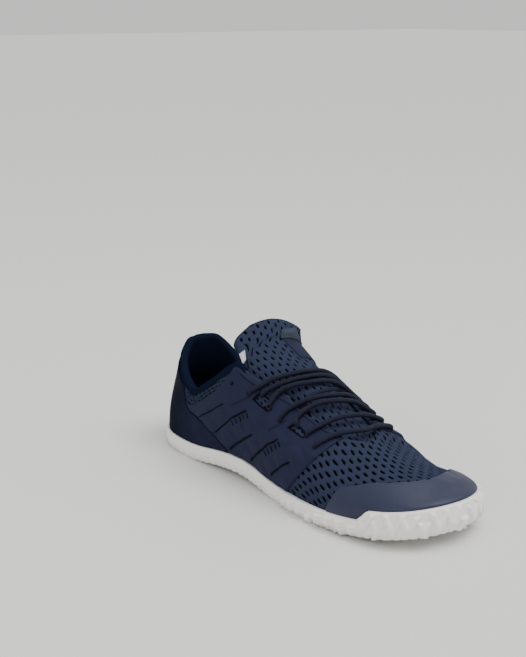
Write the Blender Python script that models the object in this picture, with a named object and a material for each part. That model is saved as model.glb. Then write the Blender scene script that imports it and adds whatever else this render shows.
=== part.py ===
"""Barefoot shoe for the left foot: a mesh upper on a thin cup sole with a chevron tread.

While it is built the heel is at x = 0, the toe points along +X, the inner side of the foot is
towards -Y and the floor is at z = 0. The last step moves the shoe so that its origin lies on the
floor under the middle of its box.

A place on the shoe is given by an angle round its outline (0 at the heel, pi at the toe, the inner
side first) and by a share of the way up its side. A share of the length follows from the angle.
"""
from collections import namedtuple
from math import acos, ceil, cos, pi, radians, sin, sqrt

import bmesh
import bpy
from mathutils import Vector

# Driving dimensions of the last, in metres
SHOE_LENGTH = 0.285
BALL_WIDTH = 0.105
WAIST_WIDTH = 0.088
HEEL_WIDTH = 0.080
HEEL_HEIGHT = 0.072
INSTEP_HEIGHT = 0.077
TOE_HEIGHT = 0.040

# Sole
SIDE_HEIGHT = 0.0108
BUMPER_HEIGHT = 0.0175
FOOTBED_HEIGHT = 0.0060
RIM_WALL = 0.0018
RIM_INSET = 0.0010
BOTTOM_INSET = 0.0020
TOE_SPRING = 0.0088
HEEL_LIFT = 0.0010
ARCH_LIFT = 0.0042
LUG_DEPTH = 0.0020
LUG_PITCH_ACROSS = 0.0120
LUG_PITCH_ALONG = 0.0125
LUG_LENGTH = 0.0080
LUG_SWEEP = 0.0070
EDGE_BAND = 0.0060
EDGE_GROOVE = 0.0016
RIB_PITCH = 0.0095
RIB_GAP = 0.0036
RIB_PROUD = 0.0009
RIB_SLANT = 0.16
NOTCH_PITCH = 0.0170
NOTCH_WIDTH = 0.0026
NOTCH_HEIGHT = 0.0014
NOTCH_DEPTH = 0.0040
INLAY_FRAME = 0.0022
INLAY_HEIGHT = 0.0012
BAR_LENGTH = 0.020
BAR_WIDTH = 0.037
OVAL_LENGTH = 0.037
OVAL_WIDTH = 0.028

# Upper and what is laid on it
UPPER_WALL = 0.0020
COLLAR_PADDING = 0.0030
OVERLAY_WALL = 0.0008
OVERLAY_GAP = 0.0006
INSOLE_THICKNESS = 0.0030
TONGUE_THICKNESS = 0.0036
TONGUE_EASE = 0.0009
LABEL_THICKNESS = 0.0010
LABEL_GAP = 0.0006
LACE_DIAMETER = 0.0034
LACE_LIFT = 0.0007
CLEARANCE = 0.0003

# Shares of the length where the form changes
SPRING_FROM = 0.69
HEEL_LIFT_TO = 0.08
ARCH_AT = 0.39
ARCH_REACH = 0.19
BUMPER_FROM = 0.853
BUMPER_FULL = 0.883
FOOT_RISES_FROM = 0.800
FOOT_FULL = 0.872
RIBS_FROM = 0.60
THROAT_FRONT = 0.745
THROAT_BACK = 0.420
PADDING_FULL = 0.28
PADDING_END = 0.37

# How finely the curved pieces are cut
COLUMNS = 72
CEILING_BREAKS = (0, 6, 12, 15, 17, 19, 22, 25, 28, 31, 33, 36)
FOOTBED_BREAKS = tuple(range(COLUMNS // 2 + 1))
RIB_ROWS = 7
LACE_STEPS = 5

# The outline of the sole: half widths as shares of the width at that place
Outline = namedtuple("Outline", "at lateral medial")
OUTLINE = [
    Outline(0.000, 0.000, 0.000),
    Outline(0.010, 0.194, 0.156),
    Outline(0.030, 0.306, 0.250),
    Outline(0.060, 0.398, 0.344),
    Outline(0.100, 0.462, 0.425),
    Outline(0.160, 0.512, 0.472),
    Outline(0.240, 0.548, 0.473),
    Outline(0.340, 0.556, 0.442),
    Outline(0.440, 0.563, 0.432),
    Outline(0.540, 0.550, 0.442),
    Outline(0.630, 0.538, 0.453),
    Outline(0.700, 0.537, 0.463),
    Outline(0.760, 0.530, 0.466),
    Outline(0.820, 0.497, 0.452),
    Outline(0.880, 0.438, 0.419),
    Outline(0.930, 0.362, 0.365),
    Outline(0.965, 0.271, 0.286),
    Outline(0.990, 0.148, 0.162),
    Outline(1.000, 0.000, 0.000),
]

# The ribs of the upper, each from the sole's edge up to the collar, the throat or the ridge of the
# toes. edge_at is a share of the length, centre and half of the width there, height and drop (how
# much lower the outer side is) of the height there. lean is the slope at the edge in degrees from
# upright; inner and outer say how full the rib of each side is.
Rib = namedtuple("Rib", "at edge_at centre half height drop lean inner outer")
RIBS = [
    Rib(0.000, 0.034, 0.02, 0.000, 0.980, 0.00, 9, 0.42, 0.42),
    Rib(0.010, 0.036, 0.02, 0.060, 0.970, -0.02, 9, 0.42, 0.42),
    Rib(0.030, 0.045, 0.03, 0.125, 0.935, -0.06, 9, 0.42, 0.42),
    Rib(0.060, 0.068, 0.03, 0.220, 0.880, -0.10, 9, 0.42, 0.42),
    Rib(0.100, 0.105, 0.02, 0.305, 0.800, -0.05, 9, 0.42, 0.42),
    Rib(0.160, 0.160, 0.00, 0.362, 0.694, 0.03, 10, 0.42, 0.42),
    Rib(0.200, 0.197, 0.00, 0.378, 0.640, 0.03, 11, 0.42, 0.42),
    Rib(0.240, 0.237, 0.00, 0.378, 0.715, 0.03, 13, 0.42, 0.42),
    Rib(0.300, 0.295, 0.00, 0.359, 0.847, 0.02, 17, 0.43, 0.43),
    Rib(0.350, 0.338, 0.00, 0.333, 0.958, 0.01, 21, 0.45, 0.45),
    Rib(0.385, 0.365, 0.00, 0.307, 1.005, 0.00, 25, 0.46, 0.46),
    Rib(0.420, 0.397, 0.00, 0.300, 0.955, 0.00, 30, 0.47, 0.47),
    Rib(0.460, 0.446, 0.00, 0.273, 0.905, 0.00, 36, 0.48, 0.47),
    Rib(0.540, 0.534, 0.00, 0.214, 0.942, 0.00, 45, 0.48, 0.46),
    Rib(0.620, 0.620, -0.02, 0.176, 1.002, 0.00, 57, 0.50, 0.44),
    Rib(0.700, 0.700, -0.04, 0.143, 1.100, 0.00, 72, 0.50, 0.41),
    Rib(0.745, 0.745, -0.07, 0.120, 1.145, 0.00, 90, 0.50, 0.38),
    Rib(0.800, 0.798, -0.09, 0.000, 1.065, 0.00, 90, 0.50, 0.36),
    Rib(0.860, 0.853, -0.10, 0.000, 0.965, 0.00, 90, 0.50, 0.34),
    Rib(0.910, 0.895, -0.08, 0.000, 0.895, 0.00, 90, 0.49, 0.36),
    Rib(0.950, 0.920, -0.05, 0.000, 0.845, 0.00, 90, 0.49, 0.40),
    Rib(0.980, 0.933, -0.02, 0.000, 0.810, 0.00, 90, 0.50, 0.46),
    Rib(1.000, 0.938, 0.00, 0.000, 0.795, 0.00, 90, 0.50, 0.50),
]
FOOT_SPREAD = radians(9)
THROAT_ROUND = 0.06
THROAT_ARCH = 0.44

# The free top of the tongue: how far it has risen, how far it lies behind the throat's top and
# towards the outer side, its half width, and how far its edges lie back and down, all in metres
TongueRow = namedtuple("TongueRow", "rise back aside half edge_back edge_down")
TONGUE_TOP = [
    TongueRow(-0.001, 0.003, 0.000, 0.0230, 0.004, 0.012),
    TongueRow(0.005, 0.002, 0.004, 0.0270, 0.006, 0.010),
    TongueRow(0.010, 0.004, 0.007, 0.0290, 0.007, 0.011),
    TongueRow(0.0132, 0.008, 0.008, 0.0240, 0.006, 0.009),
    TongueRow(0.0140, 0.011, 0.008, 0.0140, 0.003, 0.003),
]
TONGUE_FRONT = 0.715
TONGUE_UNDERLAP = 0.30
TONGUE_ROWS = 7
TONGUE_COLUMNS = 12

# Where the tab lies and how far it reaches, as shares of the tongue's width and length
LABEL_ACROSS = 0.645
LABEL_ALONG = 0.680
LABEL_WIDE = 0.19
LABEL_TALL = 0.15

# Where the seams of the overlays run: shares of the length at the sole and at the top
TOE_CAP_BACK = 0.765
TOE_CAP_BACK_TOP = 0.800
TOE_CAP_SIDE = 0.50
TOE_CAP_TOP = 0.86
TOE_CAP_FOOT = 0.05
OVERLAY_FOOT = 0.02
PANEL_FRONT_FOOT = 0.630
PANEL_FRONT_TOP = 0.712
PANEL_BACK_FOOT = 0.400
PANEL_BACK_TOP = 0.195
PANEL_TOP = 0.95
COUNTER_TOP = 0.80
SEAM_GAP = 0.003

# Eyelets, as shares of the length from the top of the throat to its front; those of the outer side
# lie a little ahead, and across is how far down the side they are
EYELET_ROWS = 6
EYELET_BACK = 0.425
EYELET_FRONT = 0.660
EYELET_AHEAD = 0.025
EYELET_ACROSS = 0.88
UNDER_ACROSS = 0.80


def share(angle):
    """Share of the length at an angle round the outline."""
    return (1 - cos(angle)) / 2


def angle_at(at, side):
    """Angle at a share of the length, on the inner side (-1) or the outer side (1)."""
    angle = acos(1 - 2 * min(max(at, 0.0), 1.0))
    return angle if side < 0 else 2 * pi - angle


def side_of(angle):
    """-1 on the inner side and 1 on the outer side."""
    return -1 if sin(angle) >= 0 else 1


def run(at, knots):
    """Smooth run through (share, value) knots, level before the first and after the last."""
    if at <= knots[0][0]:
        return knots[0][1]
    for (start, low), (end, high) in zip(knots, knots[1:]):
        if at < end:
            s = (at - start) / (end - start)
            return low + (high - low) * s * s * (3 - 2 * s)
    return knots[-1][1]


def width_at(at):
    return run(at, [(0.16, HEEL_WIDTH), (0.40, WAIST_WIDTH), (0.70, BALL_WIDTH)])


def height_at(at):
    return run(at, [(0.14, HEEL_HEIGHT), (0.42, INSTEP_HEIGHT), (0.78, TOE_HEIGHT)])


def read(table, column, at):
    """A column of a table at a share of the length, on one smooth curve through its rows."""
    knots = [acos(1 - 2 * row.at) for row in table]
    values = [getattr(row, column) for row in table]
    here = acos(1 - 2 * min(max(at, 0.0), 1.0))
    last = len(knots) - 1
    i = 0
    while i < last - 1 and here > knots[i + 1]:
        i += 1

    def slope(k):
        before = max(k - 1, 0)
        after = min(k + 1, last)
        if before == k or after == k:
            return (values[after] - values[before]) / (knots[after] - knots[before])
        left = (values[k] - values[before]) / (knots[k] - knots[before])
        right = (values[after] - values[k]) / (knots[after] - knots[k])
        weight = (knots[k] - knots[before]) / (knots[after] - knots[before])
        return left * (1 - weight) + right * weight

    gap = knots[i + 1] - knots[i]
    s = (here - knots[i]) / gap
    return ((1 + 2 * s) * (1 - s) ** 2 * values[i] + s * (1 - s) ** 2 * gap * slope(i)
            + s * s * (3 - 2 * s) * values[i + 1] - s * s * (1 - s) * gap * slope(i + 1))


def outline(angle, inset=0.0):
    """Point of the sole's outline seen from above, moved in by an inset."""
    if inset:
        step = 0.01
        along = outline(angle + step) - outline(angle - step)
        outward = Vector((along.y, -along.x, 0)).normalized()
        return outline(angle) - outward * inset
    at = share(angle)
    side = side_of(angle)
    column = "medial" if side < 0 else "lateral"
    return Vector((at * SHOE_LENGTH, side * read(OUTLINE, column, at) * width_at(at), 0))


def outward_at(angle):
    """Level direction that points out of the outline."""
    return (outline(angle) - outline(angle, 0.001)).normalized()


def ground(at):
    """Height of the sole's bottom line over the floor: flat at heel and ball, sprung at the toe."""
    toe = TOE_SPRING * max(0.0, (at - SPRING_FROM) / (1 - SPRING_FROM)) ** 2
    heel = HEEL_LIFT * max(0.0, 1 - at / HEEL_LIFT_TO) ** 2
    reach = min(abs(at - ARCH_AT) / ARCH_REACH, 1.0)
    return toe + heel + ARCH_LIFT * (1 + cos(pi * reach)) / 2


def rim(at):
    """Height of the sole's side over the floor, with the step up to the toe bumper."""
    return ground(at) + run(at, [(BUMPER_FROM, SIDE_HEIGHT), (BUMPER_FULL, BUMPER_HEIGHT)])


def rib_foot(at):
    """Height at which the upper starts to lean, on the sole's rim or a little over it."""
    return ground(at) + run(at, [(FOOT_RISES_FROM, SIDE_HEIGHT), (FOOT_FULL, BUMPER_HEIGHT)])


def footbed(at):
    return ground(at) + FOOTBED_HEIGHT


FOOT_INSET = RIM_INSET + RIM_WALL + CLEARANCE


def edge(angle):
    """Where a rib of the upper ends: on the collar, the throat or the ridge."""
    at = share(angle)
    half = read(RIBS, "half", at) * width_at(at)
    half *= sqrt(1 - (1 - min(max(0.0, THROAT_FRONT - at) / THROAT_ROUND, 1.0)) ** 2)
    height = read(RIBS, "height", at)
    if side_of(angle) > 0:
        height -= read(RIBS, "drop", at)
    return Vector((read(RIBS, "edge_at", at) * SHOE_LENGTH,
                   read(RIBS, "centre", at) * width_at(at) + side_of(angle) * max(half, 0.0),
                   height * height_at(at)))


def rib_ends(angle):
    """Foot, edge and the two end directions of a rib."""
    at = share(angle)
    foot = outline(angle, FOOT_INSET)
    foot.z = rib_foot(at)
    top = edge(angle)
    spread = FOOT_SPREAD * run(at, [(0.08, 0.0), (0.30, 1.0)])
    start = outward_at(angle) * sin(spread) + Vector((0, 0, cos(spread)))
    lean = radians(min(read(RIBS, "lean", at), 90))
    inward = top - foot
    inward.z = 0
    inward.normalize()
    step = 0.02
    ahead = edge(angle_at(min(at + step, 1), side_of(angle)))
    behind = edge(angle_at(max(at - step, 0), side_of(angle)))
    slope = (ahead.z - behind.z) / max(ahead.x - behind.x, 0.001)
    climb = slope * inward.x if lean > radians(60) else 0.0
    finish = inward * sin(lean) + Vector((0, 0, cos(lean) + climb * sin(lean)))
    return foot, top, start, finish.normalized()


def bezier(p0, p1, p2, p3, s):
    return (p0 * (1 - s) ** 3 + p1 * 3 * s * (1 - s) ** 2 + p2 * 3 * s * s * (1 - s)
            + p3 * s ** 3)


def rib_point(angle, up):
    """Outer face of the upper: up is -1 on the footbed, 0 at the sole's rim and 1 at the edge."""
    foot, top, start, finish = rib_ends(angle)
    if up <= 0:
        at = share(angle)
        foot.z += up * (rib_foot(at) - footbed(at) - CLEARANCE)
        return foot
    column = "inner" if side_of(angle) < 0 else "outer"
    chord = (top - foot) * read(RIBS, column, share(angle))
    return bezier(foot, foot + start * chord.dot(start), top - finish * chord.dot(finish), top, up)


def rib_normal(angle, up):
    """Outward direction square to the upper's outer face."""
    if up <= 0:
        return outward_at(angle)
    step = 0.012
    at = share(angle)
    if up == 1 and at >= THROAT_FRONT:
        ridge = edge(angle_at(min(at + step, 1), -1)) - edge(angle_at(at - step, -1))
        return Vector((-ridge.z, 0, ridge.x)).normalized()
    around = rib_point(angle + step, up) - rib_point(angle - step, up)
    upward = rib_point(angle, min(up + step, 1)) - rib_point(angle, max(up - step, 0.001))
    return around.cross(upward).normalized()


def shell_point(angle, up, depth):
    """Point at a depth under the upper's outer face, or over it where depth is negative."""
    return rib_point(angle, up) - rib_normal(angle, up) * depth


def wall_at(angle, up):
    """Thickness of the upper, with the padding of the collar."""
    behind = run(share(angle), [(PADDING_FULL, 1.0), (PADDING_END, 0.0)])
    return UPPER_WALL + COLLAR_PADDING * behind * run(up, [(0.35, 0.0), (0.85, 1.0)])


def material(name, colour, roughness, metallic=0.0):
    made = bpy.data.materials.new(name)
    made.use_nodes = True
    shader = made.node_tree.nodes["Principled BSDF"]
    shader.inputs["Base Color"].default_value = (*colour, 1)
    shader.inputs["Roughness"].default_value = roughness
    shader.inputs["Metallic"].default_value = metallic
    return made


def add_object(name, bm, finish):
    """Clean a closed mesh and make it an object of its own."""
    bmesh.ops.remove_doubles(bm, verts=bm.verts, dist=0.00001)
    bmesh.ops.dissolve_degenerate(bm, dist=0.00001, edges=bm.edges)
    bmesh.ops.recalc_face_normals(bm, faces=bm.faces)
    mesh = bpy.data.meshes.new(name)
    bm.to_mesh(mesh)
    bm.free()
    mesh.shade_smooth()
    mesh.set_sharp_from_angle(angle=radians(35))
    piece = bpy.data.objects.new(name, mesh)
    piece.data.materials.append(finish)
    bpy.context.scene.collection.objects.link(piece)
    return piece


def grid(bm, across, along, place):
    """A grid of faces whose points are put in place by a function of two shares from 0 to 1."""
    made = bmesh.ops.create_grid(bm, x_segments=across, y_segments=along, size=0.5)["verts"]
    for vert in made:
        vert.co = place(round(vert.co.x + 0.5, 6), round(vert.co.y + 0.5, 6))
    return made


def close_skins(bm):
    """Join the open edges of two skins, loop by loop, into one closed wall."""
    bmesh.ops.remove_doubles(bm, verts=bm.verts, dist=0.00001)
    open_edges = [e for e in bm.edges if e.is_boundary]
    bmesh.ops.bridge_loops(bm, edges=open_edges)


def patch(name, finish, across, along, place, outer, inner):
    """A closed overlay between two depths of a surface, over a grid that place maps to it."""
    bm = bmesh.new()
    grid(bm, across, along, lambda u, v: place(u, v, outer))
    grid(bm, across, along, lambda u, v: place(u, v, inner))
    close_skins(bm)
    return add_object(name, bm, finish)


def ring(bm, inset, height):
    """Closed loop of points round the outline."""
    points = []
    for i in range(COLUMNS):
        angle = 2 * pi * i / COLUMNS
        point = outline(angle, inset)
        point.z = height(share(angle))
        points.append(bm.verts.new(point))
    return points


def join_rings(bm, lower, upper):
    count = len(lower)
    for i in range(count):
        j = (i + 1) % count
        bm.faces.new((lower[i], lower[j], upper[j], upper[i]))


def rungs(bm, loop, breaks):
    """Close a loop round the outline with bands from its inner side to its outer side."""
    count = len(loop)
    for start, end in zip(breaks, breaks[1:]):
        inner = loop[start:end + 1]
        outer = [loop[(count - i) % count] for i in range(end, start - 1, -1)]
        corners = []
        for vert in inner + outer:
            if vert not in corners:
                corners.append(vert)
        bm.faces.new(corners)


def prism(bm, lower, upper):
    """Closed prism between two loops of as many points."""
    low = [bm.verts.new(point) for point in lower]
    high = [bm.verts.new(point) for point in upper]
    bm.faces.new(list(reversed(low)))
    bm.faces.new(high)
    join_rings(bm, low, high)


def tread_ceiling(at):
    """Height between the lugs, in flat bands from one break to the next."""
    stops = [share(2 * pi * i / COLUMNS) for i in CEILING_BREAKS]
    for start, end in zip(stops, stops[1:]):
        if at <= end:
            s = (at - start) / (end - start)
            return ground(start) * (1 - s) + ground(end) * s + LUG_DEPTH
    return ground(1) + LUG_DEPTH


def sole_body(bm):
    """The cup with the band round its tread."""
    def bulge(at):
        return ground(at) + 0.45 * SIDE_HEIGHT

    inner = RIM_INSET + RIM_WALL
    rings = [
        ring(bm, EDGE_BAND, tread_ceiling),
        ring(bm, EDGE_BAND, ground),
        ring(bm, BOTTOM_INSET, ground),
        ring(bm, 0.0, bulge),
        ring(bm, RIM_INSET, rim),
        ring(bm, inner, rim),
        ring(bm, inner, footbed),
    ]
    for lower, upper in zip(rings, rings[1:]):
        join_rings(bm, lower, upper)
    rungs(bm, rings[0], CEILING_BREAKS)
    rungs(bm, rings[-1], FOOTBED_BREAKS)


def inside(x, y, inset):
    """Whether a point lies in the outline, with an inset."""
    at = x / SHOE_LENGTH
    margin = inset / SHOE_LENGTH
    if not margin < at < 1 - margin:
        return False
    for here in (at - margin, at, at + margin):
        column = "medial" if y < 0 else "lateral"
        if abs(y) > read(OUTLINE, column, here) * width_at(here) - inset:
            return False
    return True


BAR_PLACE = Vector((0.440 * SHOE_LENGTH, 0.064 * WAIST_WIDTH, 0))
OVAL_PLACE = Vector((0.165 * SHOE_LENGTH, -0.018 * HEEL_WIDTH, 0))


def near_inlay(x, y):
    """Whether a point lies where an inlay and its frame are."""
    margin = INLAY_FRAME + CLEARANCE + 0.0008
    if (abs(x - BAR_PLACE.x) < BAR_LENGTH / 2 + margin
            and abs(y - BAR_PLACE.y) < BAR_WIDTH / 2 + margin):
        return True
    return (((x - OVAL_PLACE.x) / (OVAL_LENGTH / 2 + margin)) ** 2
            + ((y - OVAL_PLACE.y) / (OVAL_WIDTH / 2 + margin)) ** 2 < 1)


def zigzag_runs(nose):
    """Places across the sole that one zigzag lug may cover, as unbroken runs of its corners."""
    steps = ceil(BALL_WIDTH / LUG_PITCH_ACROSS)
    runs = [[]]
    for k in range(-steps, steps + 1):
        y = k * LUG_PITCH_ACROSS / 2
        x = nose - LUG_SWEEP * (k % 2)
        ends = (x, x - LUG_LENGTH / 2, x - LUG_LENGTH)
        if all(inside(end, y, EDGE_BAND + EDGE_GROOVE) and not near_inlay(end, y) for end in ends):
            runs[-1].append((x, y))
        elif runs[-1]:
            runs.append([])
    return [corners for corners in runs if len(corners) > 1]


def tread_lugs(bm):
    """Zigzag lugs across the sole, one behind another, their points towards the toe."""
    rows = ceil(SHOE_LENGTH / LUG_PITCH_ALONG)
    for row in range(rows + 1):
        for corners in zigzag_runs(row * LUG_PITCH_ALONG):
            loop = corners + [(x - LUG_LENGTH, y) for x, y in reversed(corners)]
            prism(bm, [Vector((x, y, ground(x / SHOE_LENGTH))) for x, y in loop],
                  [Vector((x, y, tread_ceiling(x / SHOE_LENGTH) + LUG_DEPTH / 2)) for x, y in loop])


def along_outline(start, end, pitch):
    """Angles that cut a stretch of the outline into equal pieces of about a pitch."""
    cells = 240
    angles = [start + (end - start) * i / cells for i in range(cells + 1)]
    lengths = [0.0]
    for a, b in zip(angles, angles[1:]):
        lengths.append(lengths[-1] + (outline(b) - outline(a)).length)
    count = round(lengths[-1] / pitch)
    cuts = []
    i = 0
    for k in range(count + 1):
        distance = lengths[-1] * k / count
        while i < cells - 1 and lengths[i + 1] < distance:
            i += 1
        s = (distance - lengths[i]) / (lengths[i + 1] - lengths[i])
        cuts.append(angles[i] + s * (angles[i + 1] - angles[i]))
    return cuts


def side_ribs(bm):
    """Slanted ribs on the side of the sole, round the ball and the toe."""
    front = angle_at(RIBS_FROM, -1)
    cuts = along_outline(front, 2 * pi - front, RIB_PITCH)
    levels = ((BOTTOM_INSET - RIB_PROUD, 0.04, 0.0), (-RIB_PROUD, 0.45, 0.5),
              (RIM_INSET / 2 - RIB_PROUD, 0.84, 1.0), (RIM_INSET + RIM_WALL / 2, 0.84, 1.0),
              (2 * BOTTOM_INSET, 0.04, 0.0))
    for k, (start, end) in enumerate(zip(cuts, cuts[1:])):
        margin = (end - start) * RIB_GAP / RIB_PITCH / 2
        slant = (end - start) * (RIB_SLANT if k % 2 else -RIB_SLANT)
        sides = []
        for angle in (start + margin, end - margin):
            points = []
            for inset, level, shift in levels:
                point = outline(angle + slant * shift, inset)
                point.z = ground(share(angle)) + level * SIDE_HEIGHT
                points.append(point)
            sides.append(points)
        prism(bm, sides[0], sides[1])


def notches(bm):
    """Cutters for the small notches in the lower edge of the waist and the heel."""
    front = angle_at(RIBS_FROM, -1)
    cuts = along_outline(-front, front, NOTCH_PITCH)
    for start, end in zip(cuts, cuts[1:]):
        middle = (start + end) / 2
        reach = (end - start) * NOTCH_WIDTH / NOTCH_PITCH / 2
        level = ground(share(middle))
        corners = [outline(middle - reach, -CLEARANCE), outline(middle + reach, -CLEARANCE),
                   outline(middle + reach, NOTCH_DEPTH), outline(middle - reach, NOTCH_DEPTH)]
        prism(bm, [point + Vector((0, 0, level - NOTCH_HEIGHT)) for point in corners],
              [point + Vector((0, 0, level + NOTCH_HEIGHT)) for point in corners])


def bar_corners(grow):
    x, y = BAR_LENGTH / 2 + grow, BAR_WIDTH / 2 + grow
    return [(BAR_PLACE.x + x, BAR_PLACE.y - y), (BAR_PLACE.x + x, BAR_PLACE.y + y),
            (BAR_PLACE.x - x, BAR_PLACE.y + y), (BAR_PLACE.x - x, BAR_PLACE.y - y)]


def oval_corners(grow, count=24):
    return [(OVAL_PLACE.x + (OVAL_LENGTH / 2 + grow) * cos(2 * pi * i / count),
             OVAL_PLACE.y + (OVAL_WIDTH / 2 + grow) * sin(2 * pi * i / count))
            for i in range(count)]


def inlay_frame(bm, corners):
    """Raised frame round an inlay, standing in the sole."""
    outer = corners(INLAY_FRAME + CLEARANCE)
    inner = corners(CLEARANCE)
    lower = [[], []]
    upper = [[], []]
    for k, loop in enumerate((outer, inner)):
        for x, y in loop:
            level = ground(x / SHOE_LENGTH)
            lower[k].append(bm.verts.new((x, y, level + 0.0004)))
            upper[k].append(bm.verts.new((x, y, level + LUG_DEPTH + 0.001)))
    join_rings(bm, lower[0], upper[0])
    join_rings(bm, upper[0], upper[1])
    join_rings(bm, upper[1], lower[1])
    join_rings(bm, lower[1], lower[0])


def helper(name, build):
    """A mesh that only cuts or joins and isn't a piece of the shoe."""
    bm = bmesh.new()
    build(bm)
    bmesh.ops.recalc_face_normals(bm, faces=bm.faces)
    mesh = bpy.data.meshes.new(name)
    bm.to_mesh(mesh)
    bm.free()
    made = bpy.data.objects.new(name, mesh)
    made.hide_render = True
    made.display_type = "WIRE"
    bpy.context.scene.collection.objects.link(made)
    return made


def combine(piece, operation, other):
    step = piece.modifiers.new(operation.lower(), "BOOLEAN")
    step.operation = operation
    step.solver = "EXACT"
    step.use_self = operation == "UNION"
    step.object = other


def outsole(rubber):
    bm = bmesh.new()
    sole_body(bm)
    sole = add_object("outsole", bm, rubber)

    def raised(bm):
        tread_lugs(bm)
        side_ribs(bm)
        inlay_frame(bm, bar_corners)
        inlay_frame(bm, oval_corners)

    combine(sole, "UNION", helper("tread_and_ribs", raised))
    combine(sole, "DIFFERENCE", helper("edge_notches", notches))


def inlay(name, corners, finish):
    """Flat plate in its frame, its face a little above the frame's."""
    bm = bmesh.new()
    outline_points = corners(0.0)
    top = [Vector((x, y, tread_ceiling(x / SHOE_LENGTH) - CLEARANCE)) for x, y in outline_points]
    prism(bm, [point - Vector((0, 0, INLAY_HEIGHT)) for point in top], top)
    add_object(name, bm, finish)


def insole(foam):
    """Foam sheet on the footbed, inside the upper's wall."""
    bm = bmesh.new()
    inset = FOOT_INSET + UPPER_WALL + CLEARANCE
    low = ring(bm, inset, lambda at: footbed(at) + CLEARANCE)
    high = ring(bm, inset, lambda at: footbed(at) + CLEARANCE + INSOLE_THICKNESS)
    join_rings(bm, low, high)
    rungs(bm, low, FOOTBED_BREAKS)
    rungs(bm, high, FOOTBED_BREAKS)
    add_object("insole", bm, foam)


def upper(mesh_cloth):
    """Hollow shell, closed over the toes, open at the collar, the throat and underneath."""
    bm = bmesh.new()
    skirt = 1 / (RIB_ROWS + 1)

    def place(inner):
        def point(u, v):
            up = -1.0 if v < skirt / 2 else (v - skirt) / (1 - skirt)
            up = min(max(up, -1.0), 1.0)
            if abs(up) < 1e-6:
                up = 0.0
            angle = 2 * pi * u
            return shell_point(angle, up, wall_at(angle, up) if inner else 0.0)
        return point

    grid(bm, COLUMNS, RIB_ROWS + 1, place(False))
    grid(bm, COLUMNS, RIB_ROWS + 1, place(True))
    bmesh.ops.remove_doubles(bm, verts=bm.verts, dist=0.00001)
    open_edges = [e for e in bm.edges if e.is_boundary]
    limit = SIDE_HEIGHT + TOE_SPRING
    low = [e for e in open_edges if max(v.co.z for v in e.verts) < limit]
    high = [e for e in open_edges if e not in low]
    bmesh.ops.bridge_loops(bm, edges=low)
    bmesh.ops.bridge_loops(bm, edges=high)
    return add_object("upper", bm, mesh_cloth)


def rows_to(top, foot=OVERLAY_FOOT):
    """Shares of the way up an overlay has its rows at: those of the upper, so that both bend alike."""
    return [foot] + [k / RIB_ROWS for k in range(1, RIB_ROWS) if foot < k / RIB_ROWS < top - 0.04] + [top]


def overlay(name, finish, across, rows, place):
    """Thin bonded piece that follows the upper a small gap above it."""
    def on_row(u, v, depth):
        return place(u, rows[round(v * (len(rows) - 1))], depth)

    patch(name, finish, across, len(rows) - 1, on_row, -(OVERLAY_GAP + OVERLAY_WALL), -OVERLAY_GAP)


def overlays(film, panel):
    def over_toe(u, up, depth):
        height = (up - OVERLAY_FOOT) / (TOE_CAP_TOP - OVERLAY_FOOT)
        lean = TOE_CAP_BACK + (TOE_CAP_BACK_TOP - TOE_CAP_BACK) * height
        start, end = angle_at(lean, -1), angle_at(lean, 1)
        angle = start + (end - start) * u
        top = TOE_CAP_TOP + (TOE_CAP_SIDE - TOE_CAP_TOP) * abs(2 * u - 1) ** 2.5
        return shell_point(angle, TOE_CAP_FOOT + (top - TOE_CAP_FOOT) * height, depth)

    overlay("toe_cap", film, 24, rows_to(TOE_CAP_TOP), over_toe)

    for name, side in (("side_panel_medial", -1), ("side_panel_lateral", 1)):
        def over_side(u, up, depth):
            height = up / PANEL_TOP
            back = PANEL_BACK_FOOT + (PANEL_BACK_TOP - PANEL_BACK_FOOT) * height + SEAM_GAP
            front = PANEL_FRONT_FOOT + (PANEL_FRONT_TOP - PANEL_FRONT_FOOT) * height
            return shell_point(angle_at(back + (front - back) * u, side), up, depth)

        overlay(name, panel, 14, rows_to(PANEL_TOP), over_side)

    def over_heel(u, up, depth):
        lean = PANEL_BACK_FOOT + (PANEL_BACK_TOP - PANEL_BACK_FOOT) * up / PANEL_TOP
        start, end = angle_at(lean, 1) - 2 * pi, angle_at(lean, -1)
        return shell_point(start + (end - start) * u, up, depth)

    overlay("heel_counter", film, 27, rows_to(COUNTER_TOP), over_heel)


def throat_line(at, across):
    """Surface over the throat: across runs from -1 to 1, and beyond a half it is the upper's."""
    if abs(across) >= 0.5:
        side = -1 if across < 0 else 1
        under = (abs(across) - 0.5) / 0.5 * TONGUE_UNDERLAP
        return rib_point(angle_at(at, side), 1 - under)
    left = rib_ends(angle_at(at, -1))
    right = rib_ends(angle_at(at, 1))
    reach = (right[1] - left[1]).length * THROAT_ARCH
    return bezier(left[1], left[1] + left[3] * reach, right[1] + right[3] * reach, right[1],
                  across + 0.5)


def throat_point(at, across, depth):
    step = 0.01
    along = throat_line(at + step, across) - throat_line(at - step, across)
    over = throat_line(at, across + step) - throat_line(at, across - step)
    return throat_line(at, across) - along.cross(over).normalized() * depth


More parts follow.
